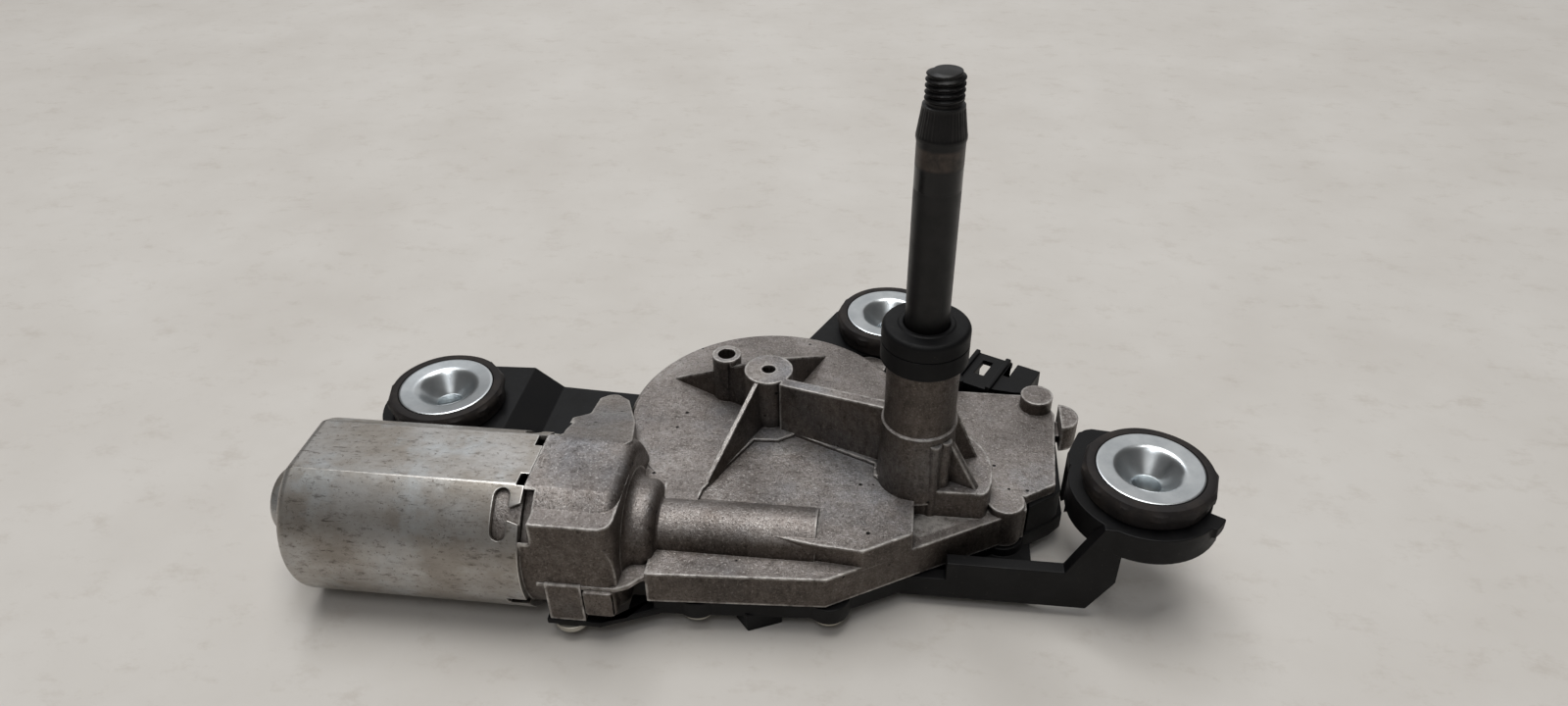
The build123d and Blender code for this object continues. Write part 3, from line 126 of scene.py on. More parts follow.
lens = bpy.data.cameras.new("camera")
lens.sensor_width = SENSOR_WIDTH
lens.lens = SENSOR_WIDTH * FOCAL_PIXELS / IMAGE_WIDTH
lens.clip_start = 0.01
camera = placed("camera", lens)
camera.matrix_world = (
    Matrix.Translation(Vector(CAMERA_PLACE) * MM)
    @ Matrix.Rotation(math.radians(CAMERA_HEADING), 4, "Z")
    @ Matrix.Rotation(math.radians(90 - CAMERA_DOWN), 4, "X")
    @ Matrix.Rotation(math.radians(CAMERA_ROLL), 4, "Z")
)
bpy.context.scene.camera = camera
print("lens in mm:", round(lens.lens, 2))

# %% [markdown]
# ## Colours and nodes
# Colours are written as the hex values a picture editor shows.  Blender's shaders want linear
# light, so one function converts them.  A second small function adds a node, fills its
# settings and links what feeds it, which keeps each material below down to its recipe.


# %% Colour
def linear(hex_colour):
    """sRGB hex to linear RGBA: (c + 0.055) / 1.055 to the power 2.4, or c / 12.92 near black."""
    channels = [int(hex_colour[i:i + 2], 16) / 255 for i in (1, 3, 5)]
    return tuple(c / 12.92 if c <= 0.04045 else ((c + 0.055) / 1.055) ** 2.4
                 for c in channels) + (1.0,)


# %% Nodes
def add(tree, kind, output=0, settings=None, stops=(), **inputs):
    """Adds a node and returns one of its outputs, by place or by name.

    settings are the node's properties, and stops a ramp's pairs of position and tone, where a
    tone is a hex colour or a grey number.  inputs are its sockets, by name or by place as _3,
    each with a value or with another node's output."""
    node = tree.nodes.new(kind)
    for name, value in (settings or {}).items():
        setattr(node, name, value)
    for name, value in inputs.items():
        socket = node.inputs[int(name[1:]) if name[0] == "_" else name.replace("_", " ")]
        if isinstance(value, bpy.types.NodeSocket):
            tree.links.new(value, socket)
        else:
            socket.default_value = value
    if stops:
        elements = node.color_ramp.elements
        while len(elements) < len(stops):
            elements.new(0.5)
        for element, (position, tone) in zip(elements, stops):
            element.position = position
            element.color = linear(tone) if isinstance(tone, str) else (tone,) * 3 + (1.0,)
    return node.outputs[output]


def new_material(name, **surface):
    """A material, its node tree, its shader with the sockets set, and the place in mm."""
    material = bpy.data.materials.new(name)
    material.use_nodes = True
    tree = material.node_tree
    shader = tree.nodes["Principled BSDF"]
    for socket, value in surface.items():
        shader.inputs[socket.replace("_", " ")].default_value = value
    mm = add(tree, "ShaderNodeVectorMath", settings={"operation": "SCALE"}, Scale=1 / MM,
             Vector=add(tree, "ShaderNodeTexCoord", "Object"))
    return material, tree, shader, mm


def feed(tree, shader, **outputs):
    """Links each output to the shader's socket of that name."""
    for socket, output in outputs.items():
        tree.links.new(output, shader.inputs[socket.replace("_", " ")])


# %% [markdown]
# ## Patches, stains and coats
# Nearly everything that age does to a surface comes in soft random patches.  Their size is given
# in millimetres, because it belongs to the real thing: a thumb's width for oxide clouds, half a
# millimetre for sand.  A ramp then says from which height of the pattern a patch counts.  A
# stain multiplies the colour beneath, as dirt does, and a coat covers it, as bare metal does.

# %% Patterns over a colour
MULTIPLIED = {"data_type": "RGBA", "blend_type": "MULTIPLY"}
MIXED = {"data_type": "RGBA"}
MIX_RESULT = 2


def patches(tree, mm, size, detail=4.0, ragged=0.6, drawn_out=None):
    """Random patches about size mm across; drawn_out scales the axes, 0.2 is five times as long."""
    if drawn_out:
        mm = add(tree, "ShaderNodeMapping", Vector=mm, Scale=drawn_out)
    return add(tree, "ShaderNodeTexNoise", Vector=mm, Scale=1 / size, Detail=detail,
               Roughness=ragged)


def stained(tree, colour, share, pattern, *stops):
    """colour * (1 - share + share * tone), where the tone is the pattern's, read off the stops."""
    tone = add(tree, "ShaderNodeValToRGB", stops=stops, Fac=pattern)
    return add(tree, "ShaderNodeMix", MIX_RESULT, MULTIPLIED, _0=share, _6=colour, _7=tone)


def coated(tree, colour, coat, pattern, *stops):
    """colour * (1 - k) + coat * k, where the cover k is the pattern's, read off the stops."""
    cover = add(tree, "ShaderNodeValToRGB", stops=stops, Fac=pattern)
    return add(tree, "ShaderNodeMix", MIX_RESULT, MIXED, _0=cover, _6=colour, _7=linear(coat))


# %% [markdown]
# ## Corners, walls and edges
# Tight corners are painted darker, as shade, where rays sent outwards soon meet something.
# Outer edges are worn to bare metal that is also painted bright as a highlight, and rays sent
# into the metal find those, because only near an edge is the far side close.  Walls are painted
# darker than tops, as shade, and carry marks of the die that the casting is drawn out along.


# %% Where a surface lies
def painted_corner_shade(tree, colour, reach, darkest):
    """Painted shade: darkest in corners where rays of reach mm soon meet something."""
    opening = add(tree, "ShaderNodeAmbientOcclusion", "AO", {"samples": 8}, Distance=reach * MM)
    return stained(tree, colour, 1.0, opening, (0.18, darkest), (0.68, "#ffffff"))


def walls(tree):
    """1 on walls and 0 on tops, from the height |n.z| of the normal in the object's own axes."""
    normal = add(tree, "ShaderNodeTexCoord", "Normal")
    height = add(tree, "ShaderNodeMath", settings={"operation": "ABSOLUTE"},
                 _0=add(tree, "ShaderNodeSeparateXYZ", "Z", Vector=normal))
    return add(tree, "ShaderNodeValToRGB", stops=((0.30, 1.0), (0.80, 0.0)), Fac=height)


def outer_edges(tree, reach):
    """1 within about reach mm of an outer edge and 0 elsewhere, by rays sent into the metal."""
    inwards = {"samples": 8, "inside": True, "only_local": True}
    depth = add(tree, "ShaderNodeAmbientOcclusion", "AO", inwards, Distance=reach * MM)
    return add(tree, "ShaderNodeValToRGB", stops=((0.62, 1.0), (0.88, 0.0)), Fac=depth)


def relief(tree, shader, *layers, rounded=0.0):
    """Chains bumps of (height output, depth in mm) into the shader's normal, over edges that
    catch the light as if rounded by so many mm."""
    normal = None
    if rounded:
        normal = add(tree, "ShaderNodeBevel", settings={"samples": 6}, Radius=rounded * MM)
    for height, depth in layers:
        inputs = {"Height": height, "Distance": depth * MM, "Strength": 1.0}
        if normal:
            inputs["Normal"] = normal
        normal = add(tree, "ShaderNodeBump", **inputs)
    feed(tree, shader, Normal=normal)


# %% [markdown]
# ## Die-cast alloy
# The gear housing is a light alloy die casting.  Casting leaves a sandy skin with small pores,
# painted near black inside as their shade, and years behind a tailgate panel leave grey-brown
# oxide in clouds, small stains and dust.  The walls are painted darker than the tops, as shade,
# and carry upright marks of the die, and corners are painted darker as shade too.  Where two faces
# meet, the thin flash was knocked back to bright metal, here and there, and those edges and small
# glints are painted brighter as highlights.  All of that is one material, made in layers from the
# large to the small, so that the same casting looks right from every side.

# %% The casting's skin
# pale bare metal, also the colour of the painted highlights on edges and glints
BARE_METAL_AND_HIGHLIGHT = "#cfcbc7"
CLOUD_GREYS = ((0.36, "#7b7775"), (0.50, "#908c8a"), (0.64, "#a8a5a3"))
CLOUD, WIPE, DUST, GLINT, DIE_MARK, WEAR = 26.0, 34.0, 11.0, 0.6, 1.0, 3.0  # mm across


def cast_skin(tree, mm, mottle, sand):
    """Clouds of oxide, wiped warm or cool, under stains, brown dust, dark sand and painted glints.
    """
    colour = add(tree, "ShaderNodeValToRGB", stops=CLOUD_GREYS,
                 Fac=patches(tree, mm, CLOUD, 7.0, 0.62))
    colour = stained(tree, colour, 0.7, patches(tree, mm, WIPE, 5.0, 0.6),
                     (0.50, "#fffaf7"), (0.64, "#e6edf8"))
    colour = stained(tree, colour, 0.75, mottle,
                     (0.32, "#8e8782"), (0.46, "#e8e4e1"), (0.58, "#ffffff"))
    colour = stained(tree, colour, 0.5, patches(tree, mm, DUST, 6.0, 0.7),
                     (0.56, "#ffffff"), (0.72, "#b8a99e"))
    colour = stained(tree, colour, 0.7, sand, (0.34, "#665f5a"), (0.44, "#ffffff"))
    # small glints coated in pale metal: painted highlights
    return coated(tree, colour, BARE_METAL_AND_HIGHLIGHT, patches(tree, mm, GLINT, 3.0, 0.7),
                  (0.57, 0.0), (0.68, 0.5))


def walls_shaded_and_die_marked(tree, mm, colour):
    """Painted shade darkens the walls; upright marks show where the casting slid out of its die."""
    upright = patches(tree, mm, DIE_MARK, 6.0, 0.75, drawn_out=(1.0, 1.0, 0.3))
    # both stops lie below white, so every wall is darker: painted shade, with the die's marks in it
    dull = stained(tree, colour, 1.0, upright, (0.32, "#948d87"), (0.60, "#bbb5af"))
    return add(tree, "ShaderNodeMix", MIX_RESULT, MIXED, _0=walls(tree), _6=colour, _7=dull)


def edge_worn_and_highlit(tree, mm, colour):
    """Bare metal and a painted highlight along the outer edges: cover = edge * patch."""
    patch = add(tree, "ShaderNodeValToRGB", stops=((0.38, 0.08), (0.60, 1.0)),
                Fac=patches(tree, mm, WEAR, 7.0, 0.75))
    cover = add(tree, "ShaderNodeMath", settings={"operation": "MULTIPLY"},
                _0=outer_edges(tree, 1.0), _1=patch)
    return add(tree, "ShaderNodeMix", MIX_RESULT, MIXED, _0=cover, _6=colour,
               _7=linear(BARE_METAL_AND_HIGHLIGHT))


# %% The whole casting
PORE_SPACING = 6.5  # mm; at the ramp's stops a pore is a dark hole about 0.9 mm wide
STAIN, WAVE = 2.4, 9.0  # mm across
SAND_GRAIN = 0.5  # mm; the real grains are nearer 0.1 mm, and are drawn coarser so that they show


def die_cast_alloy():
    """Weathered die casting, part metal and part oxide, with relief from waves to sand grains."""
    material, tree, shader, mm = new_material("weathered_die_cast_alloy", Metallic=0.7)
    mottle = patches(tree, mm, STAIN, 8.0, 0.78)
    sand = patches(tree, mm, SAND_GRAIN, 3.0, 0.7)
    pores = add(tree, "ShaderNodeTexVoronoi", "Distance", {"feature": "F1"}, Vector=mm,
                Scale=1 / PORE_SPACING)
    colour = walls_shaded_and_die_marked(tree, mm, cast_skin(tree, mm, mottle, sand))
    # each pore is painted near black: the shade inside a small hole
    colour = coated(tree, colour, "#120f0e", pores, (0.062, 1.0), (0.080, 0.0))
    # painted shade darkens the casting's corners, and its outer edges turn to bare metal with a
    # painted highlight
    colour = edge_worn_and_highlit(tree, mm, painted_corner_shade(tree, colour, 4.0, "#5b524b"))
    dull_stains = add(tree, "ShaderNodeValToRGB", stops=((0.3, 0.46), (0.7, 0.28)), Fac=mottle)
    dull_sand = add(tree, "ShaderNodeValToRGB", stops=((0.35, 0.48), (0.65, 0.24)), Fac=sand)
    rough = add(tree, "ShaderNodeMix", MIX_RESULT, MIXED, _0=0.5, _6=dull_stains, _7=dull_sand)
    feed(tree, shader, Base_Color=colour, Roughness=rough)
    pits = add(tree, "ShaderNodeValToRGB", stops=((0.04, 0.0), (0.09, 1.0)), Fac=pores)
    relief(tree, shader, (patches(tree, mm, WAVE, 3.0, 0.5), 0.25), (mottle, 0.22), (sand, 0.12),
           (pits, 0.15), rounded=0.45)
    return material


# %% [markdown]
# ## Galvanised sheet
# The motor can is drawn from galvanised sheet: smoother and paler than the casting, a dull zinc
# with faint streaks and scores along the draw, beige dirt in patches and cool spots where the
# zinc was wiped bare.

# %% Galvanised sheet steel
STREAK, FILM, BARE_SPOT, SCUFF, SCORE, SPECK, DENT = 5.0, 17.0, 12.0, 1.3, 0.9, 0.75, 6.0  # mm
SHEET_GRAIN = 0.7  # mm; coarser than the real grain of the zinc, so that it shows


def galvanised_sheet():
    """Drawn galvanised sheet: pale dull zinc, faint streaks, beige dirt and cool patches."""
    material, tree, shader, mm = new_material("galvanised_sheet_steel", Metallic=0.8)
    streaks = patches(tree, mm, STREAK, 7.0, 0.66, drawn_out=(0.4, 1.0, 1.0))
    colour = add(tree, "ShaderNodeValToRGB", Fac=streaks,
                 stops=((0.30, "#9f9c98"), (0.5, "#aeaba8"), (0.70, "#bab9b7")))
    colour = stained(tree, colour, 0.5, patches(tree, mm, FILM, 7.0, 0.62),
                     (0.40, "#c4b6a3"), (0.58, "#ffffff"))
    colour = coated(tree, colour, "#babfc2", patches(tree, mm, BARE_SPOT, 7.0, 0.66),
                    (0.54, 0.0), (0.68, 0.55))
    scuffs = patches(tree, mm, SCUFF, 6.0, 0.74, drawn_out=(0.45, 1.0, 1.0))
    colour = stained(tree, colour, 0.7, scuffs, (0.32, "#7c736b"), (0.45, "#ffffff"))
    scores = patches(tree, mm, SCORE, 4.0, 0.7, drawn_out=(0.14, 1.0, 1.0))
    colour = stained(tree, colour, 0.75, scores, (0.30, "#6f665e"), (0.37, "#ffffff"))
    colour = coated(tree, colour, "#5c5249", patches(tree, mm, SPECK, 4.0, 0.7),
                    (0.60, 0.0), (0.67, 0.75))
    rough = add(tree, "ShaderNodeValToRGB", stops=((0.3, 0.46), (0.7, 0.36)), Fac=streaks)
    # painted shade darkens the can's corners
    feed(tree, shader, Base_Color=painted_corner_shade(tree, colour, 3.5, "#4b423b"), Roughness=rough)
    relief(tree, shader, (patches(tree, mm, SHEET_GRAIN, 3.0, drawn_out=(0.5, 1, 1)), 0.018),
           (patches(tree, mm, DENT, 4.0, drawn_out=(0.5, 1, 1)), 0.12))
    return material


# %% [markdown]
# ## Phosphated steel with rubbed bands
# The spindle is black phosphated.  Where a part once sat, the black is rubbed to a brownish
# band, and just below it lies a glossier one.  Both follow the height along the spindle, which
# the object's own Z coordinate gives in millimetres.

# %% Phosphated spindle
RUBBED_BAND, RUBBED_FADE = (73.6, 77.0), 0.7
GLOSSY_BAND, GLOSSY_FADE = (68.2, 72.6), 0.5
GLOSSY_ROUGHNESS = 0.24
DRIFT, TURNING_MARK = 3.0, 0.5  # mm; the marks are coarser than real ones, so that they show


def between(tree, height, low, high, fade):
    """1 where height lies between low and high, fading over so many mm: rise * fall."""
    rise = add(tree, "ShaderNodeMapRange", Value=height, From_Min=low - fade, From_Max=low)
    fall = add(tree, "ShaderNodeMapRange", Value=height, From_Min=high, From_Max=high + fade,
               To_Min=1.0, To_Max=0.0)
    return add(tree, "ShaderNodeMath", settings={"operation": "MULTIPLY"}, _0=rise, _1=fall)


def phosphated_steel():
    """Near-black phosphate over steel, with the rubbed and the glossy band."""
    material, tree, shader, mm = new_material("black_phosphated_steel", Metallic=0.1,
                                               Specular_IOR_Level=0.35)
    height = add(tree, "ShaderNodeSeparateXYZ", "Z", Vector=mm)
    drift = patches(tree, mm, DRIFT, 6.0, 0.65)
    colour = add(tree, "ShaderNodeValToRGB", stops=((0.35, "#090909"), (0.65, "#141213")),
                 Fac=drift)
    patch = add(tree, "ShaderNodeValToRGB", stops=((0.40, 0.25), (0.6, 0.8)), Fac=drift)
    rubbed = add(tree, "ShaderNodeMath", settings={"operation": "MULTIPLY"},
                 _0=between(tree, height, *RUBBED_BAND, RUBBED_FADE), _1=patch)
    colour = add(tree, "ShaderNodeMix", MIX_RESULT, MIXED, _0=rubbed, _6=colour,
                 _7=linear("#4b4038"))
    satin = add(tree, "ShaderNodeValToRGB", stops=((0.3, 0.46), (0.7, 0.36)), Fac=drift)
    rough = add(tree, "ShaderNodeMix", MIX_RESULT, MIXED, _6=satin,
                _0=between(tree, height, *GLOSSY_BAND, GLOSSY_FADE),
                _7=(GLOSSY_ROUGHNESS,) * 3 + (1.0,))
    feed(tree, shader, Base_Color=colour, Roughness=rough)
    relief(tree, shader, (patches(tree, mm, TURNING_MARK, 2.0, drawn_out=(1.0, 1.0, 0.2)), 0.008))
    return material


# %% [markdown]
# ## Plain metals, plastics and rubber
# The small metal pieces are clean, so their colour only drifts a little over patches of a few
# millimetres.  The bracket is glass-filled nylon: near black, satin, with a very fine moulded
# grain and grey dust in patches.  The rubber rings are duller and carry brown road dust.

# %% Plain metals
METAL_GRAIN = 0.4  # mm; coarser than real polishing marks, so that it shows


def plain_metal(name, dark, light, roughness, drift=6.0, metallic=1.0, grain_depth=0.01):
    """A metal whose colour drifts between two tones over patches of drift mm."""
    material, tree, shader, mm = new_material(name, Metallic=metallic, Roughness=roughness)
    colour = add(tree, "ShaderNodeValToRGB", stops=((0.35, dark), (0.65, light)),
                 Fac=patches(tree, mm, drift, 5.0))
    feed(tree, shader, Base_Color=colour)
    relief(tree, shader, (patches(tree, mm, METAL_GRAIN, 2.0), grain_depth))
    return material


# %% Black plastics and rubber
CRUMB_TONE = "#5b534a"
DUST_PATCH, CRUMB, MOULD_GRAIN = 9.0, 0.6, 0.35  # mm; the grain is coarser than a real one


def moulded_black(name, base, dust, share, roughness, grain_depth):
    """A moulded black: dust covers up to share of the base, crumbs lie on it, the grain is fine."""
    material, tree, shader, mm = new_material(name, Specular_IOR_Level=0.22)
    film = patches(tree, mm, DUST_PATCH, 7.0, 0.72)
    colour = coated(tree, linear(base), dust, film, (0.48, 0.0), (0.72, share))
    colour = coated(tree, colour, CRUMB_TONE, patches(tree, mm, CRUMB, 3.0, 0.6),
                    (0.67, 0.0), (0.74, share))
    rough = add(tree, "ShaderNodeValToRGB", Fac=film,
                stops=((0.35, roughness), (0.7, min(1.0, roughness + 0.25))))
    feed(tree, shader, Base_Color=colour, Roughness=rough)
    relief(tree, shader, (patches(tree, mm, MOULD_GRAIN, 2.0), grain_depth))
    return material


# %% The materials by slot
MATERIALS = {
    # grey, blotched, gritty: the whole unit's look, with painted shade and highlit worn edges
    "die_cast_zinc": die_cast_alloy(),
    # paler and smoother than the casting, so that the can stands apart from it
    "galvanised_steel": galvanised_sheet(),
    # near black and satin: the nylon shows by its edges and its dust
    "black_plastic_cover": moulded_black("glass_filled_nylon", "#060608", "#1f1d1b",
                                         0.25, 0.42, 0.012),
    # as black, with a finer grain, so that the cap's collar catches one clean line of light
    "black_plastic_cap": moulded_black("moulded_acetal_cap", "#070709", "#191717",
                                       0.25, 0.46, 0.008),
    # dull dark brown, without a reflection, so that the bright bush stands out of it
    "grommet_rubber": moulded_black("dusty_rubber", "#242121", "#4c453f", 0.55, 0.55, 0.03),
    # black and even, so that it goes unnoticed beside the shaft
    "seal_rubber": moulded_black("nitrile_rubber", "#111111", "#222222", 0.3, 0.6, 0.02),
    # the brightest surface in sight, which mirrors the room softly in its dishes
    "zinc_plated_bush": plain_metal("bright_zinc_plating", "#c6cbce", "#dadee0", 0.29, 5.0,
                                    grain_depth=0.006),
    # the same plating gone dull and yellowish with age
    "zinc_plated_screw": plain_metal("dulled_zinc_plating", "#a39f94", "#c4c1b8", 0.36),
    # a black that still glints along the shaft
    "black_phosphate_steel": phosphated_steel(),
    # steels and iron inside, from mirror bright to the dark stack of sheets
    "bearing_steel": plain_metal("polished_bearing_steel", "#a9a9aa", "#c2c2c4", 0.18),
    "ground_steel": plain_metal("ground_steel", "#9a9a9b", "#b8b8b8", 0.25),
    "spring_steel": plain_metal("spring_steel", "#8d8d8d", "#a8a8a6", 0.3),
    "gear_steel": plain_metal("sintered_gear_steel", "#6f6f70", "#868685", 0.42),
    "lamination_iron": plain_metal("lamination_iron", "#4a4a4c", "#5e5c5a", 0.5),
    # warm metals: red copper, its darker enamel, yellow brass, oily brown bronze, tin over brass
    "bare_copper": plain_metal("turned_copper", "#a8653f", "#c98358", 0.28),
    "enamelled_copper": plain_metal("enamelled_copper", "#7c3d20", "#9c5430", 0.3),
    "contact_brass": plain_metal("spring_brass", "#a88c4a", "#c6a962", 0.3),
    "sintered_bronze": plain_metal("oiled_sintered_bronze", "#7b5a35", "#94714a", 0.45),
    "tinned_brass": plain_metal("tinned_brass", "#b3aea2", "#cbc8bf", 0.3),
    # dull pieces that only drift in tone: dark ceramic, sooty carbon, brown board, ivory acetal
    "ferrite": plain_metal("sintered_ferrite", "#2b2b2d", "#3a393a", 0.6, metallic=0.2),
    "carbon": plain_metal("carbon_brush", "#1c1c1c", "#2a2a2a", 0.55, metallic=0.1),
    "phenolic_board": plain_metal("phenolic_board", "#5a3d22", "#6d4b2b", 0.5, metallic=0.0),
    "wheel_plastic": plain_metal("natural_acetal", "#d9d3c0", "#e4dfcf", 0.4, metallic=0.0),
}
# the can's bent and sheared edges: zinc rubbed bare, and a painted highlight along them
ZINC_EDGE_HIGHLIGHT = plain_metal("burnished_zinc_highlight", "#aeaba6", "#cdcac6", 0.34, 2.0)
print("materials:", len(MATERIALS))

# %% Dress every CAD node with its slot's material
for node, piece in frame["nodes"].items():
    piece.data.materials.clear()
    piece.data.materials.append(MATERIALS[SLOT_OF[node]])
print("dressed nodes:", len(frame["nodes"]))

# %% [markdown]
# ## Softened edges
# Nothing that is cast, drawn or moulded has a knife edge.  The can, the cover and the screws
# could be rounded by a shader, but a narrow bevel wherever two faces meet at more than a given
# angle also shows in the outline, so a merged copy of the CAD node gets one and stands in for
# the node.  The housing's fillets run into one another at slivers too thin for a bevel, so its
# copy keeps its edges, and its material rounds them in the light.  Large flat faces next to
# small curved ones shade badly when every face counts the same at a shared corner, so the
# normals are weighted by area: the large face keeps its own.

# %% Area-weighted normals
CREASE = 30.0


def weigh_normals(mesh):
    """Splits edges sharper than CREASE degrees; N of a corner = sum(area * face normal)."""
    work = bmesh.new()
    work.from_mesh(mesh)
    sharp = [edge for edge in work.edges
             if len(edge.link_faces) != 2 or edge.calc_face_angle(0.0) > math.radians(CREASE)]
    bmesh.ops.split_edges(work, edges=sharp)
    work.to_mesh(mesh)
    work.free()
    faces, corners = len(mesh.polygons), len(mesh.loops)
    area, normal = np.empty(faces), np.empty(faces * 3)
    size, corner_vertex = np.empty(faces, dtype=np.int32), np.empty(corners, dtype=np.int32)
    mesh.polygons.foreach_get("area", area)
    mesh.polygons.foreach_get("normal", normal)
    mesh.polygons.foreach_get("loop_total", size)
    mesh.loops.foreach_get("vertex_index", corner_vertex)
    weighted = normal.reshape(-1, 3) * area[:, None]
    total = np.zeros((len(mesh.vertices), 3))
    np.add.at(total, corner_vertex, np.repeat(weighted, size, axis=0))
    length = np.linalg.norm(total, axis=1, keepdims=True)
    total /= np.where(length > 0, length, 1)
    mesh.polygons.foreach_set("use_smooth", np.ones(faces, dtype=bool))
    mesh.normals_split_custom_set_from_vertices(total.tolist())


# %% Rounded edges
def round_edges(piece, width, angle=32.0, edge_slot=-1):
    """Bevels a piece's edges sharper than angle, fixes the result and weighs its normals.

    The bevel's faces take the material of edge_slot, or with -1 that of their neighbours.  Its
    clamp is off, since it narrows every bevel to what the mesh's shortest edge has room for."""
    bevel = piece.modifiers.new("edge", "BEVEL")
    bevel.width = width * MM
    bevel.segments = 2
    bevel.limit_method = "ANGLE"
    bevel.angle_limit = math.radians(angle)
    bevel.material = edge_slot
    bevel.use_clamp_overlap = False
    finished = bpy.data.meshes.new_from_object(
        piece.evaluated_get(bpy.context.evaluated_depsgraph_get()))
    piece.modifiers.clear()
    piece.data = finished
    weigh_normals(finished)


def hand_over(piece, node):
    """Lets a piece ride on the body of the given CAD node."""
    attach(piece, frame["nodes"][node]["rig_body"])


# %% A softened copy of a CAD node
WELD, FLAT_ANGLE = 0.002, 0.5


def softened(node, width=0.0, angle=32.0, edge_highlight=None, cutters=(), reshape=None):
    """A copy of a CAD node with its faces merged, less the cutters, and its edges rounded."""
    copy = frame["nodes"][node].data.copy()
    if reshape:
        points = np.empty(len(copy.vertices) * 3)
        copy.vertices.foreach_get("co", points)
        copy.vertices.foreach_set("co", reshape(points.reshape(-1, 3) / MM).ravel() * MM)
    work = bmesh.new()
    work.from_mesh(copy)
    bmesh.ops.remove_doubles(work, verts=work.verts, dist=WELD * MM)
    bmesh.ops.dissolve_limit(work, angle_limit=math.radians(FLAT_ANGLE), verts=work.verts,
                             edges=work.edges)
    mesh = bpy.data.meshes.new(node + "_plain")
    work.to_mesh(mesh)
    work.free()
    mesh.materials.append(MATERIALS[SLOT_OF[node]])
    if edge_highlight:
        mesh.materials.append(edge_highlight)
    piece = placed(node + "_soft", mesh)
    for cutter in cutters:
        trim = piece.modifiers.new("trim", "BOOLEAN")
        trim.operation = "DIFFERENCE"
        trim.solver = "EXACT"
        trim.object = cutter
    if width:
        round_edges(piece, width, angle, 1 if edge_highlight else -1)
    else:
        weigh_normals(mesh)
    for cutter in cutters:
        bpy.data.objects.remove(cutter)
    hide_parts(node)
    hand_over(piece, node)
    print(node, "softened:", len(mesh.polygons), "faces, with its edges", len(piece.data.polygons))


# %% [markdown]
# ## The housing's ribs and ear
# The casting's thin webs are thinner at their crests than at their feet, because a die needs a
# taper to let go.  Moving the points of each crest is enough for that.  The ear beside the motor
# block starts level with the block's top, with no step between them.

# %% Gussets
DOME_TOP_Z = -10.2
GUSSET_TOES = ((-67.4, 32.5), (-51.2, -9.0), (-26.8, 47.2))
GUSSET_HALF, CREST_HALF, CREST_MARGIN = 1.2, 0.55, 0.06
HUB_R, TOE_LENGTH = 5.0, 0.6


def thin_crests(points):
    """Draws each gusset's crest in from GUSSET_HALF to CREST_HALF beside its middle line.

    With u the unit vector to the toe, t = u.(p - axle) runs along a gusset and d = u x (p - axle)
    across it; where |d| is the half thickness, d becomes sign(d) * CREST_HALF."""
    shaped = points.copy()
    for toe in GUSSET_TOES:
        run = np.array(toe) - WHEEL_XY
        reach = np.linalg.norm(run)
        along = run / reach
        across = np.array([-along[1], along[0]])
        offset = shaped[:, :2] - WHEEL_XY
        t, d = offset @ along, offset @ across
        on_crest = np.abs(np.abs(d) - GUSSET_HALF) < CREST_MARGIN
        on_crest &= (t > HUB_R) & (t < reach + 0.5)
        on_crest &= (shaped[:, 2] > DOME_TOP_Z + 0.05) | (t > reach - TOE_LENGTH)
        on_crest &= shaped[:, 2] > DOME_TOP_Z - 0.1
        shift = np.where(on_crest, np.sign(d) * CREST_HALF - d, 0.0)
        shaped[:, :2] += shift[:, None] * across
        print("gusset towards", toe, "moved", int(on_crest.sum()), "points")
    return shaped


# %% Ear
BLOCK_TOP_Z = CAN_HIGH[2].round(2)
EAR_TOP_Z, EAR_SLOPE, EAR_FRONT_Y, EAR_MARGIN = 3.0, 16 / 39, -11.0, 0.01
EAR_LOW_XY, EAR_HIGH_XY = (-88.5, -12.1), (-66.9, 28.0)


def settle_ear(points):
    """Lowers the ear's sloping top z = EAR_TOP_Z - EAR_SLOPE * (y - EAR_FRONT_Y), and the narrow
    flat in front of it, until the slope starts level with the block's top."""
    shaped = points.copy()
    y, z = shaped[:, 1], shaped[:, 2]
    slope = EAR_TOP_Z - EAR_SLOPE * np.maximum(y - EAR_FRONT_Y, 0)
    on_ear = (np.abs(z - slope) < EAR_MARGIN) & (shaped[:, :2] > EAR_LOW_XY).all(axis=1)
    on_ear &= (shaped[:, :2] < EAR_HIGH_XY).all(axis=1)
    shaped[:, 2] -= np.where(on_ear, EAR_TOP_Z - BLOCK_TOP_Z, 0.0)
    print("ear settled:", int(on_ear.sum()), "points")
    return shaped


# %% Housing, can, screws and terminals
softened("gear_housing", reshape=lambda points: settle_ear(thin_crests(points)))
# the can's creases take the pale edge material, a painted highlight line
softened("motor_can", 0.3, angle=18.0, edge_highlight=ZINC_EDGE_HIGHLIGHT)
for fastener in ("cover_screws", "connector_terminals"):
    softened(fastener, 0.15)

# %% [markdown]
# ## Upright plates
# Small cast lips, webs and moulded corners are plates with a plan outline.  One function makes
# such a plate from its outline and two levels, rounds its edges like the rest and lets it ride
# on the body of the piece that it grows from.  The same plate, without a finish, also serves as
# a cutter that trims a copy of a CAD node.


# %% Plates
def face_outwards(mesh, weld=0.0):
    """Merges points closer than weld mm, if given, and turns every face outwards."""
    work = bmesh.new()
    work.from_mesh(mesh)
    if weld:
        bmesh.ops.remove_doubles(work, verts=work.verts, dist=weld * MM)
    bmesh.ops.recalc_face_normals(work, faces=work.faces)
    work.to_mesh(mesh)
    work.free()


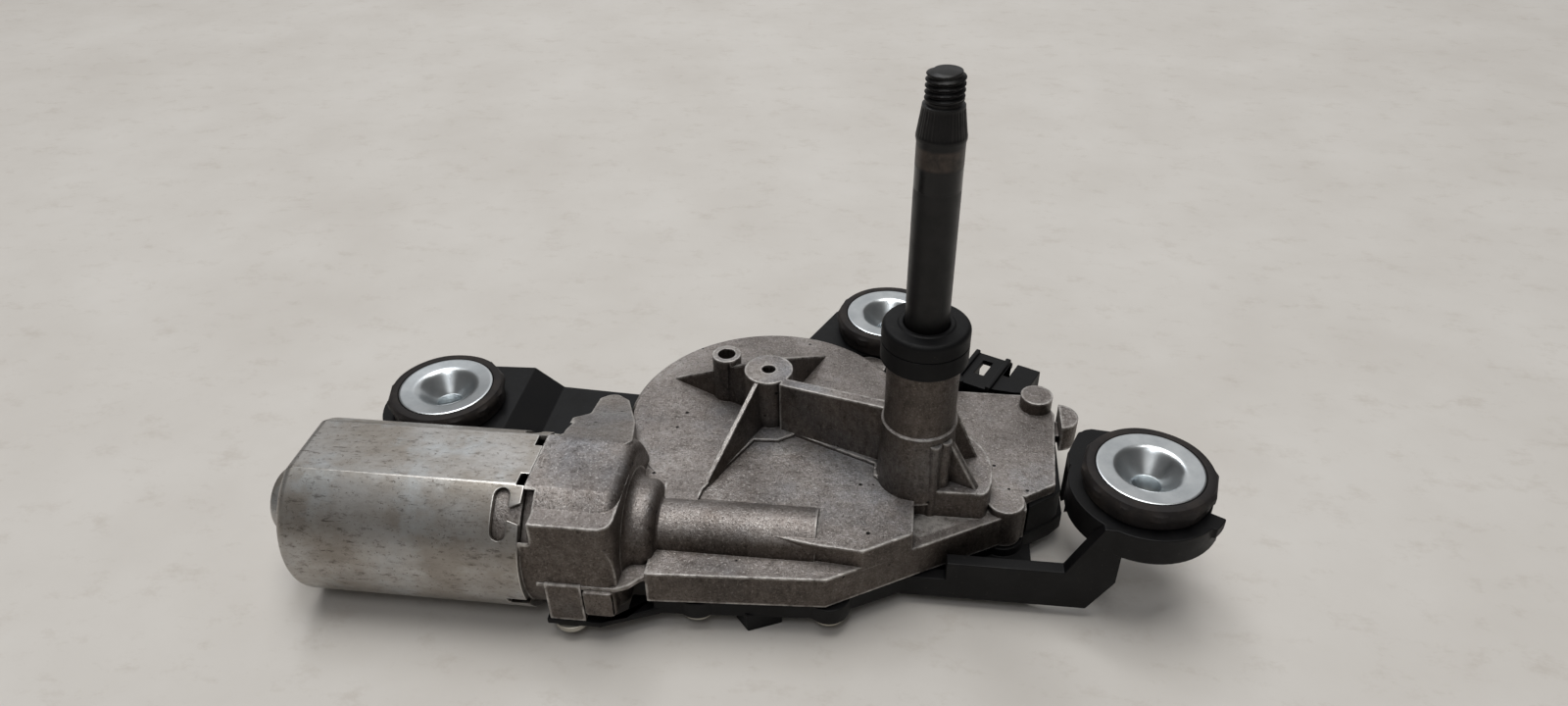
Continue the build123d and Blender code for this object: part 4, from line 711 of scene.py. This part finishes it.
def plate_object(name, outline, low, high):
    """Prism over a plan outline (points, 2) in mm, from level low to level high."""
    plan = np.asarray(outline, dtype=float)
    count = len(plan)
    floor, roof = (np.column_stack([plan, np.full(count, level)]) for level in (low, high))
    ring = np.arange(count)
    sides = np.stack([ring, np.roll(ring, -1), np.roll(ring, -1) + count, ring + count], axis=1)
    faces = sides.tolist() + [ring[::-1].tolist(), (ring + count).tolist()]
    mesh = bpy.data.meshes.new(name)
    mesh.from_pydata((np.concatenate([floor, roof]) * MM).tolist(), [], faces)
    face_outwards(mesh)
    return placed(name, mesh)


def grown_plate(name, outline, low, high, node, width):
    """A plate that belongs to a CAD node: its body, its slot and its finish."""
    plate = plate_object(name, outline, low, high)
    plate.data.materials.append(MATERIALS[SLOT_OF[node]])
    round_edges(plate, width)
    hand_over(plate, node)
    print(name + ":", len(plate.data.polygons), "faces")


def sector(centre, inner, outer, start, end, count=24):
    """Plan outline of a ring's sector between two angles in degrees: c + r (cos a, sin a)."""
    turn = np.radians(np.linspace(start, end, count))
    way = np.stack([np.cos(turn), np.sin(turn)], axis=1)
    return np.concatenate([inner * way, outer * way[::-1]]) + np.asarray(centre)


# %% [markdown]
# ## The bracket's right-hand lug
# The ring plate of the right-hand lug is open towards the rear right: there the rubber ring
# stands free.  It ends in a blunt tab in front and in a broad corner behind.

# %% Cover with its trimmed lug
RIGHT_LUG_XY = LUGS["right"][:2].round(2)
LUG_TOP, LUG_SKIRT_BOTTOM, LUG_PLATE = -6.0, -13.6, 3.0
RING_CLEAR_R, TAB_R = 15.3, 18.9
GAP_ANGLES, TAB_ANGLES = (-29.0, 99.0), (-80.0, -5.0)
CUT_LEVELS = (LUG_SKIRT_BOTTOM - 1, LUG_TOP + 1)
CORNER_OUTLINE = ((51.5, 11.6), (51.0, 15.6), (44.0, 16.4), (40.6, 14.6), (37.6, 7.2),
                  (37.2, 2.0), (39.5, 2.0), (41.6, 6.4), (45.4, 10.0))

gap_in_ring = plate_object("gap_in_ring", sector(RIGHT_LUG_XY, RING_CLEAR_R, 25.0, *GAP_ANGLES),
                           *CUT_LEVELS)
tab_trim = plate_object("tab_trim", sector(RIGHT_LUG_XY, TAB_R, 26.0, *TAB_ANGLES), *CUT_LEVELS)
softened("cover_bracket", 0.35, cutters=(gap_in_ring, tab_trim))
grown_plate("lug_corner", CORNER_OUTLINE, LUG_TOP - LUG_PLATE, LUG_TOP + 0.05, "cover_bracket", 0.4)

# %% [markdown]
# ## Cast lips on the housing
# Under the motor block's front face runs a thin lip, with a second screw lug beside the first.
# A low web joins the block to the ledge in front of the worm's tunnel.

# %% Lips and web
LIP_OUTLINE = ((-86.2, -39.2), (-67.6, -39.2), (-64.6, -37.8), (-62.4, -35.4), (-61.0, -34.6),
               (-60.0, -30.0), (-60.0, -24.0), (-67.5, -24.0), (-86.2, -30.0))
WEB_OUTLINE = ((-67.6, -15.0), (-59.0, -15.0), (-59.0, -8.0), (-64.0, -3.0), (-67.6, 3.0))
SCREW_LUG_OUTLINE = ((-75.2, -40.2), (-68.6, -40.2), (-67.6, -39.2), (-67.6, -33.0),
                     (-75.2, -33.0))
grown_plate("block_lip", LIP_OUTLINE, -18.9, -17.6, "gear_housing", 0.35)
grown_plate("rim_beside_seat", WEB_OUTLINE, -14.5, -10.3, "gear_housing", 0.2)
grown_plate("second_lug", SCREW_LUG_OUTLINE, -26.5, -18.6, "gear_housing", 0.9)

# %% [markdown]
# ## Turned surfaces
# The spindle, its cap, the bushes and the rubber rings are all round, so each is a profile of
# radius and height swung about an axis.  The whole grid of points is one numpy array with a row
# for each profile point and a column for each angle.  A radius may also change with the angle,
# which is how the thread's helix, the knurls and the lobes get in.

# %% Swung profiles
AROUND = 144
ANGLES = np.linspace(0, 2 * np.pi, AROUND, endpoint=False)


def swung(radius, height):
    """Grid of points (r cos a, r sin a, z); r is (rows, 1) or (rows, angles), z has a row each."""
    radius = np.broadcast_to(radius, (len(height), AROUND))
    level = np.broadcast_to(height[:, None], radius.shape)
    return np.stack([radius * np.cos(ANGLES), radius * np.sin(ANGLES), level], axis=-1)


def turned_piece(name, node, grid, closed, crease=30.0, stands_in=True):
    """Skins a grid of points in mm, column by column round the axis.  A closed profile joins
    its last row to its first, an open one ends on the axis or inside another piece."""
    rows = len(grid)
    index = np.arange(rows * AROUND).reshape(rows, AROUND)
    lower = index if closed else index[:-1]
    upper = np.roll(index, -1, axis=0) if closed else index[1:]
    quads = np.stack([lower, np.roll(lower, -1, axis=1), np.roll(upper, -1, axis=1), upper],
                     axis=-1).reshape(-1, 4)
    mesh = bpy.data.meshes.new(name)
    mesh.from_pydata((grid.reshape(-1, 3) * MM).tolist(), [], quads.tolist())
    face_outwards(mesh, weld=0.0005)
    mesh.polygons.foreach_set("use_smooth", np.ones(len(mesh.polygons), dtype=bool))
    mesh.set_sharp_from_angle(angle=math.radians(crease))
    mesh.materials.append(MATERIALS[SLOT_OF[node]])
    piece = placed(name, mesh)
    if stands_in:
        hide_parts(node)
    hand_over(piece, node)
    print(name + ":", rows, "rows,", len(mesh.polygons), "faces")


def swell(value, low, high, soft):
    """Smooth window: 1 between low and high, falling to 0 over soft; s * s * (3 - 2 s)."""
    ramp = np.clip((value - low) / soft + 0.5, 0, 1) * np.clip((high - value) / soft + 0.5, 0, 1)
    return ramp * ramp * (3 - 2 * ramp)


# %% [markdown]
# ## The bearing seat
# Between the motor block and the worm's tunnel the casting swells over the ball bearing.  The
# swelling is a half round, and fillets run from it up on the block and down on the tunnel.  It
# is turned about the motor's axis: rolling the coordinates by one lays the upright axis along x.

# %% Bearing seat
BLOCK_END_X, SEAT_END_X = -67.0, -60.6
SEAT_R, SEAT_ROUND, TUNNEL_R = 11.65, 3.0, 7.4
BLOCK_FILLET, TUNNEL_FILLET, SUNK = 2.9, 1.6, 0.3
arc = np.linspace(0, np.pi / 2, 9)
seat_x = np.concatenate([
    [BLOCK_END_X - 1.5], BLOCK_END_X + BLOCK_FILLET * (1 - np.cos(arc)),
    SEAT_END_X - SEAT_ROUND * (1 - np.sin(arc)),
    SEAT_END_X + TUNNEL_FILLET * (1 - np.cos(arc[1:])), [SEAT_END_X + 2.6]])
seat_r = np.concatenate([
    [SEAT_R + BLOCK_FILLET], SEAT_R + BLOCK_FILLET * (1 - np.sin(arc)),
    SEAT_R - SEAT_ROUND * (1 - np.cos(arc)),
    TUNNEL_R - SUNK + TUNNEL_FILLET * (1 - np.sin(arc[1:])), [TUNNEL_R - SUNK]])
seat_grid = np.roll(swung(seat_r[:, None], seat_x), 1, axis=-1) + [0.0, *MOTOR_AXIS]
turned_piece("bearing_seat", "gear_housing", seat_grid, closed=False, stands_in=False)

# %% [markdown]
# ## The spindle
# The spindle carries the wiper arm: a plain shaft, a groove for its clip, a tapered seat with
# fine knurls that bite into the arm, and an M8 thread of 1.25 mm pitch for the nut.  The thread
# is a helix, so at each height the groove's depth depends on the angle as well.

# %% Spindle's profile
SPINDLE_LOW, SPINDLE_HIGH = node_box("spindle")
TOP_Z, BOTTOM_Z = SPINDLE_HIGH[2], SPINDLE_LOW[2]
SHAFT_R, JOURNAL_R, JOURNAL_LENGTH, CHAMFER = 5.0, 4.0, 4.1, 0.4
CLIP_Z, CLIP_GROOVE_R, CLIP_GROOVE_WIDTH = 30.5, 4.5, 1.2
SEAT_SMALL_R, SEAT_LARGE_R, SEAT_LENGTH = 4.3, 5.2, 7.0
THREAD_R, THREAD_LENGTH, THREAD_RELIEF, THREAD_CHAMFER = 4.0, 6.5, 0.35, 0.8
THREAD_Z = TOP_Z - THREAD_LENGTH
SEAT_Z = THREAD_Z - SEAT_LENGTH

profile = np.array([
    (BOTTOM_Z, 0), (BOTTOM_Z, JOURNAL_R - CHAMFER), (BOTTOM_Z + CHAMFER, JOURNAL_R),
    (BOTTOM_Z + JOURNAL_LENGTH, JOURNAL_R), (BOTTOM_Z + JOURNAL_LENGTH, SHAFT_R),
    (CLIP_Z, SHAFT_R), (CLIP_Z, CLIP_GROOVE_R), (CLIP_Z + CLIP_GROOVE_WIDTH, CLIP_GROOVE_R),
    (CLIP_Z + CLIP_GROOVE_WIDTH, SHAFT_R), (SEAT_Z - 1.0, SHAFT_R), (SEAT_Z - 0.15, SEAT_LARGE_R),
    (SEAT_Z + 0.3, SEAT_LARGE_R), (THREAD_Z - 0.3, SEAT_SMALL_R),
    (THREAD_Z, THREAD_R - THREAD_RELIEF), (THREAD_Z + 0.5, THREAD_R - THREAD_RELIEF),
    (THREAD_Z + 0.9, THREAD_R), (TOP_Z - THREAD_CHAMFER, THREAD_R),
    (TOP_Z, THREAD_R - THREAD_CHAMFER), (TOP_Z, 0),
])
fine = np.concatenate([np.linspace(SEAT_Z - 0.6, THREAD_Z, 36)[1:-1],
                       np.linspace(THREAD_Z + 1.0, TOP_Z - 0.05, 76)])
fine_radius = np.interp(fine, profile[:-1, 0], profile[:-1, 1])
rows = np.concatenate([profile, np.stack([fine, fine_radius], axis=1)])
rows = rows[np.argsort(rows[:, 0], kind="stable")]
print("spindle from", BOTTOM_Z.round(2), "to", TOP_Z.round(2), "in", len(rows), "rows")

# %% Thread and knurls
THREAD_PITCH, THREAD_DEPTH, CREST_FLAT = 1.25, 0.62, 0.12
KNURLS, KNURL_DEPTH, RUN_OUT = 40, 0.16, 0.6
level, mean_radius = rows[:, :1], rows[:, 1:]
turn = ANGLES / (2 * np.pi)
groove = 1 - np.abs(2 * ((level / THREAD_PITCH - turn) % 1.0) - 1)
thread = THREAD_DEPTH * np.clip(1.25 * groove - CREST_FLAT, 0, 1)
thread *= swell(level, THREAD_Z + 1.2, TOP_Z + 2, 0.8)
ridge = np.abs(2 * ((turn * KNURLS) % 1.0) - 1)
knurl = KNURL_DEPTH * ridge * swell(level, SEAT_Z + RUN_OUT, THREAD_Z - RUN_OUT, RUN_OUT)
shaft_radius = np.where(mean_radius > 0, mean_radius - thread - knurl, 0.0)
turned_piece("threaded_spindle", "spindle", swung(shaft_radius, rows[:, 0]), closed=False,
             crease=40.0)

# %% [markdown]
# ## The cap
# A black moulded cap covers the tower's mouth.  It has a rounded top edge, a raised collar
# round the shaft and a fine seam halfway up where its two mould halves met.

# %% Cap
CAP_BOTTOM, CAP_TOP = (corner[2] for corner in node_box("spindle_cap"))
CAP_R, CAP_BORE, CAP_EDGE_R, CAP_WALL, TOWER_R = 10.1, 5.2, 1.2, 1.5, 8.5
SEAM_Z, SEAM_HALF, SEAM_DEPTH = CAP_BOTTOM + 5.1, 0.2, 0.28
SHOULDER_Z = CAP_TOP - 0.25
bend = np.linspace(0, np.pi / 2, 7)
cap_radius = np.concatenate([
    [TOWER_R, CAP_R - 0.3, CAP_R, CAP_R, CAP_R - SEAM_DEPTH, CAP_R],
    CAP_R - CAP_EDGE_R * (1 - np.cos(bend)), [6.6, 6.2, 5.5, CAP_BORE, CAP_BORE, TOWER_R]])
cap_level = np.concatenate([
    [CAP_BOTTOM, CAP_BOTTOM, CAP_BOTTOM + 0.4, SEAM_Z - SEAM_HALF, SEAM_Z, SEAM_Z + SEAM_HALF],
    SHOULDER_Z - CAP_EDGE_R * (1 - np.sin(bend)),
    [SHOULDER_Z, CAP_TOP, CAP_TOP, CAP_TOP - 0.2, CAP_TOP - CAP_WALL, CAP_TOP - CAP_WALL]])
turned_piece("moulded_cap", "spindle_cap", swung(cap_radius[:, None], cap_level), closed=True)

# %% [markdown]
# ## The bushes
# Each mounting bush is pressed from bright plated sheet: a broad flat rim, a smooth shoulder, a
# steep funnel and a sleeve.  The slope of the profile grows smoothly from the rim's to the
# funnel's, so there is no crease, and the light runs over the shoulder in one soft patch.

# %% Bushes
RIM_R, DISH_R, HOLE_R, SHEET, SLEEVE_LENGTH = 12.5, 11.9, 3.25, 1.2, 13.6
SHOULDER_R, SHOULDER, RIM_SLOPE, FUNNEL_SLOPE = 9.0, 2.2, 0.06, 1.06
dish_r = np.linspace(DISH_R, HOLE_R + 0.2, 30)
share = np.clip((SHOULDER_R - dish_r) / SHOULDER, 0, 1)
slope = RIM_SLOPE + FUNNEL_SLOPE * share * share * (3 - 2 * share)
dish_z = -np.cumsum(np.concatenate([[0], (slope[1:] + slope[:-1]) / 2 * -np.diff(dish_r)]))
under_r = np.maximum(dish_r - 0.15, HOLE_R + SHEET)
bush_radius = np.concatenate([
    [RIM_R - 0.25, RIM_R, RIM_R, RIM_R - 0.1, RIM_R - 0.35], dish_r,
    [HOLE_R, HOLE_R, HOLE_R + SHEET], under_r[::-1]])
bush_level = np.concatenate([
    [-SHEET, -SHEET + 0.25, -0.35, -0.1, 0.0], dish_z,
    [dish_z[-1] - 0.3, -SLEEVE_LENGTH, -SLEEVE_LENGTH], dish_z[::-1] - SHEET])
print("funnel's depth in mm:", round(float(-dish_z[-1]), 2))
for side, rim in LUGS.items():
    turned_piece("dished_bush_" + side, "bush_" + side,
                 swung(bush_radius[:, None], bush_level) + rim, closed=True, crease=35.0)

# %% [markdown]
# ## The rubber rings
# A rubber ring holds each bush in its lug and keeps the motor's hum out of the body.  Its upper
# part carries a band with twelve blunt corners, and the lip round the bush is uneven from use.
# A twelve-sided band has the radius a / cos(b), with a its inner radius and b the angle from
# the middle of the nearest side.

# %% Rubber ring's profile
RING_R, NECK_R, BAND_CORNER_R, CORNERS = 15.0, 11.0, 15.75, 12
SEAT_LEVEL = LUG_TOP - LUGS["right"][2].round(2)
NECK_BOTTOM = SEAT_LEVEL - LUG_PLATE
OUTSIDE_R, BAND_R = 13.5, 13.0
ring_profile = np.array([
    (12.6, -0.75), (12.75, -0.1), (13.1, 0.0), (14.2, 0.0), (14.75, -0.2), (RING_R, -0.7),
    (RING_R, -1.2), (RING_R, -2.9), (RING_R, -3.4), (14.95, -5.6), (14.6, SEAT_LEVEL),
    (NECK_R, SEAT_LEVEL), (NECK_R, NECK_BOTTOM), (13.9, NECK_BOTTOM), (14.0, -9.5),
    (13.4, -12.2), (12.6, -13.0), (12.0, -13.2), (4.6, -13.2), (4.55, -12.9), (4.55, -6.8),
    (6.9, -4.1), (9.3, -1.95), (10.3, -1.4), (12.5, -1.3),
])
ring_radius, ring_level = ring_profile[:, :1], ring_profile[:, 1]
band = swell(ring_profile[:, 1:], -3.1, -0.9, 0.5) * (ring_radius > BAND_R)
side_angle = (ANGLES % (2 * np.pi / CORNERS)) - np.pi / CORNERS
twelve_sided = BAND_CORNER_R * np.cos(np.pi / CORNERS) / np.cos(side_angle)
print("the band's flats stand out by mm:", round(float(twelve_sided.min()) - RING_R, 2))

# %% Rubber rings
WORN_OFF = 0.06
outside = ring_radius > OUTSIDE_R
for count, (side, rim) in enumerate(LUGS.items()):
    uneven = 0.07 * np.sin(3 * ANGLES + 1.7 * count) + 0.05 * np.sin(7 * ANGLES + 2.9 * count)
    lobed = ring_radius + band * np.maximum(twelve_sided - RING_R, 0)
    lobed = lobed - outside * WORN_OFF + outside * uneven * (1 - band)
    turned_piece("rubber_ring_" + side, "grommet_" + side, swung(lobed, ring_level) + rim,
                 closed=True, crease=38.0)

# %% [markdown]
# ## Floor and light
# The table is a pale warm grey with faint wiping marks.  A large ceiling lamp does most of the
# lighting, and a dimmer one in front fills the walls that face the viewer.  The wide lamp behind
# is the pale wall that flat metal mirrors, two small ones are the window and the skylight that
# glint in the dishes, and a dim world keeps the black plastic black.  Together they light the
# table at about its written colour.

# %% Floor
FLOOR_Z = CAD_BOX[0].z
SIDE = 3.0  # metres from the middle to each edge
TABLE_TONE, WIPING_MARK = 60.0, 9.0  # mm across
floor_mesh = bpy.data.meshes.new("table")
floor_mesh.from_pydata([(-SIDE, -SIDE, FLOOR_Z), (SIDE, -SIDE, FLOOR_Z), (SIDE, SIDE, FLOOR_Z),
                        (-SIDE, SIDE, FLOOR_Z)], [], [(0, 1, 2, 3)])
table = placed("table", floor_mesh)
# painted board: a dull even surface that takes a soft shadow, with faint marks of wiping
table_paint, tree, shader, mm = new_material("painted_table", Roughness=0.62)
tone = add(tree, "ShaderNodeValToRGB", stops=((0.3, "#c9c4be"), (0.7, "#d3cfca")),
           Fac=patches(tree, mm, TABLE_TONE, 7.0, 0.6))
wiping = patches(tree, mm, WIPING_MARK, 8.0, 0.75, drawn_out=(0.6, 1.0, 1.0))
feed(tree, shader,
     Base_Color=stained(tree, tone, 0.45, wiping, (0.32, "#e4dfda"), (0.46, "#ffffff")))
floor_mesh.materials.append(table_paint)
print("floor at mm:", round(FLOOR_Z / MM, 2))

# %% Lamps
AIM = (-0.03, 0.0, 0.0)
LAMPS = {  # place and size in metres, power in watts, colour
    "ceiling": ((-0.15, 0.20, 2.40), 1.6, 37.0, "#fffefb"),
    "ceiling_in_front": ((0.0, -1.90, 2.30), 2.0, 5.5, "#fffefb"),
    "pale_wall_behind": ((0.0, 2.0, 1.2), 2.4, 8.0, "#ffffff"),
    "window": ((-0.60, 0.95, 1.80), 0.45, 6.0, "#f8fbff"),
    "skylight": ((-0.10, -1.15, 2.05), 0.6, 5.0, "#f8fbff"),
}
for name, (place, size, power, colour) in LAMPS.items():
    light = bpy.data.lights.new(name, "AREA")
    light.size = size
    light.energy = power
    light.color = linear(colour)[:3]
    holder = placed(name, light)
    holder.location = place
    towards = Vector(AIM) - Vector(place)
    holder.rotation_euler = towards.to_track_quat("-Z", "Y").to_euler()
print("lamps:", ", ".join(LAMPS))

# %% World
world = bpy.data.worlds.new("room")
world.use_nodes = True
background = world.node_tree.nodes["Background"]
background.inputs["Color"].default_value = linear("#f1efed")
background.inputs["Strength"].default_value = 0.10
bpy.context.scene.world = world
bpy.context.scene.view_settings.view_transform = "Standard"
print("world's strength:", round(background.inputs["Strength"].default_value, 2))
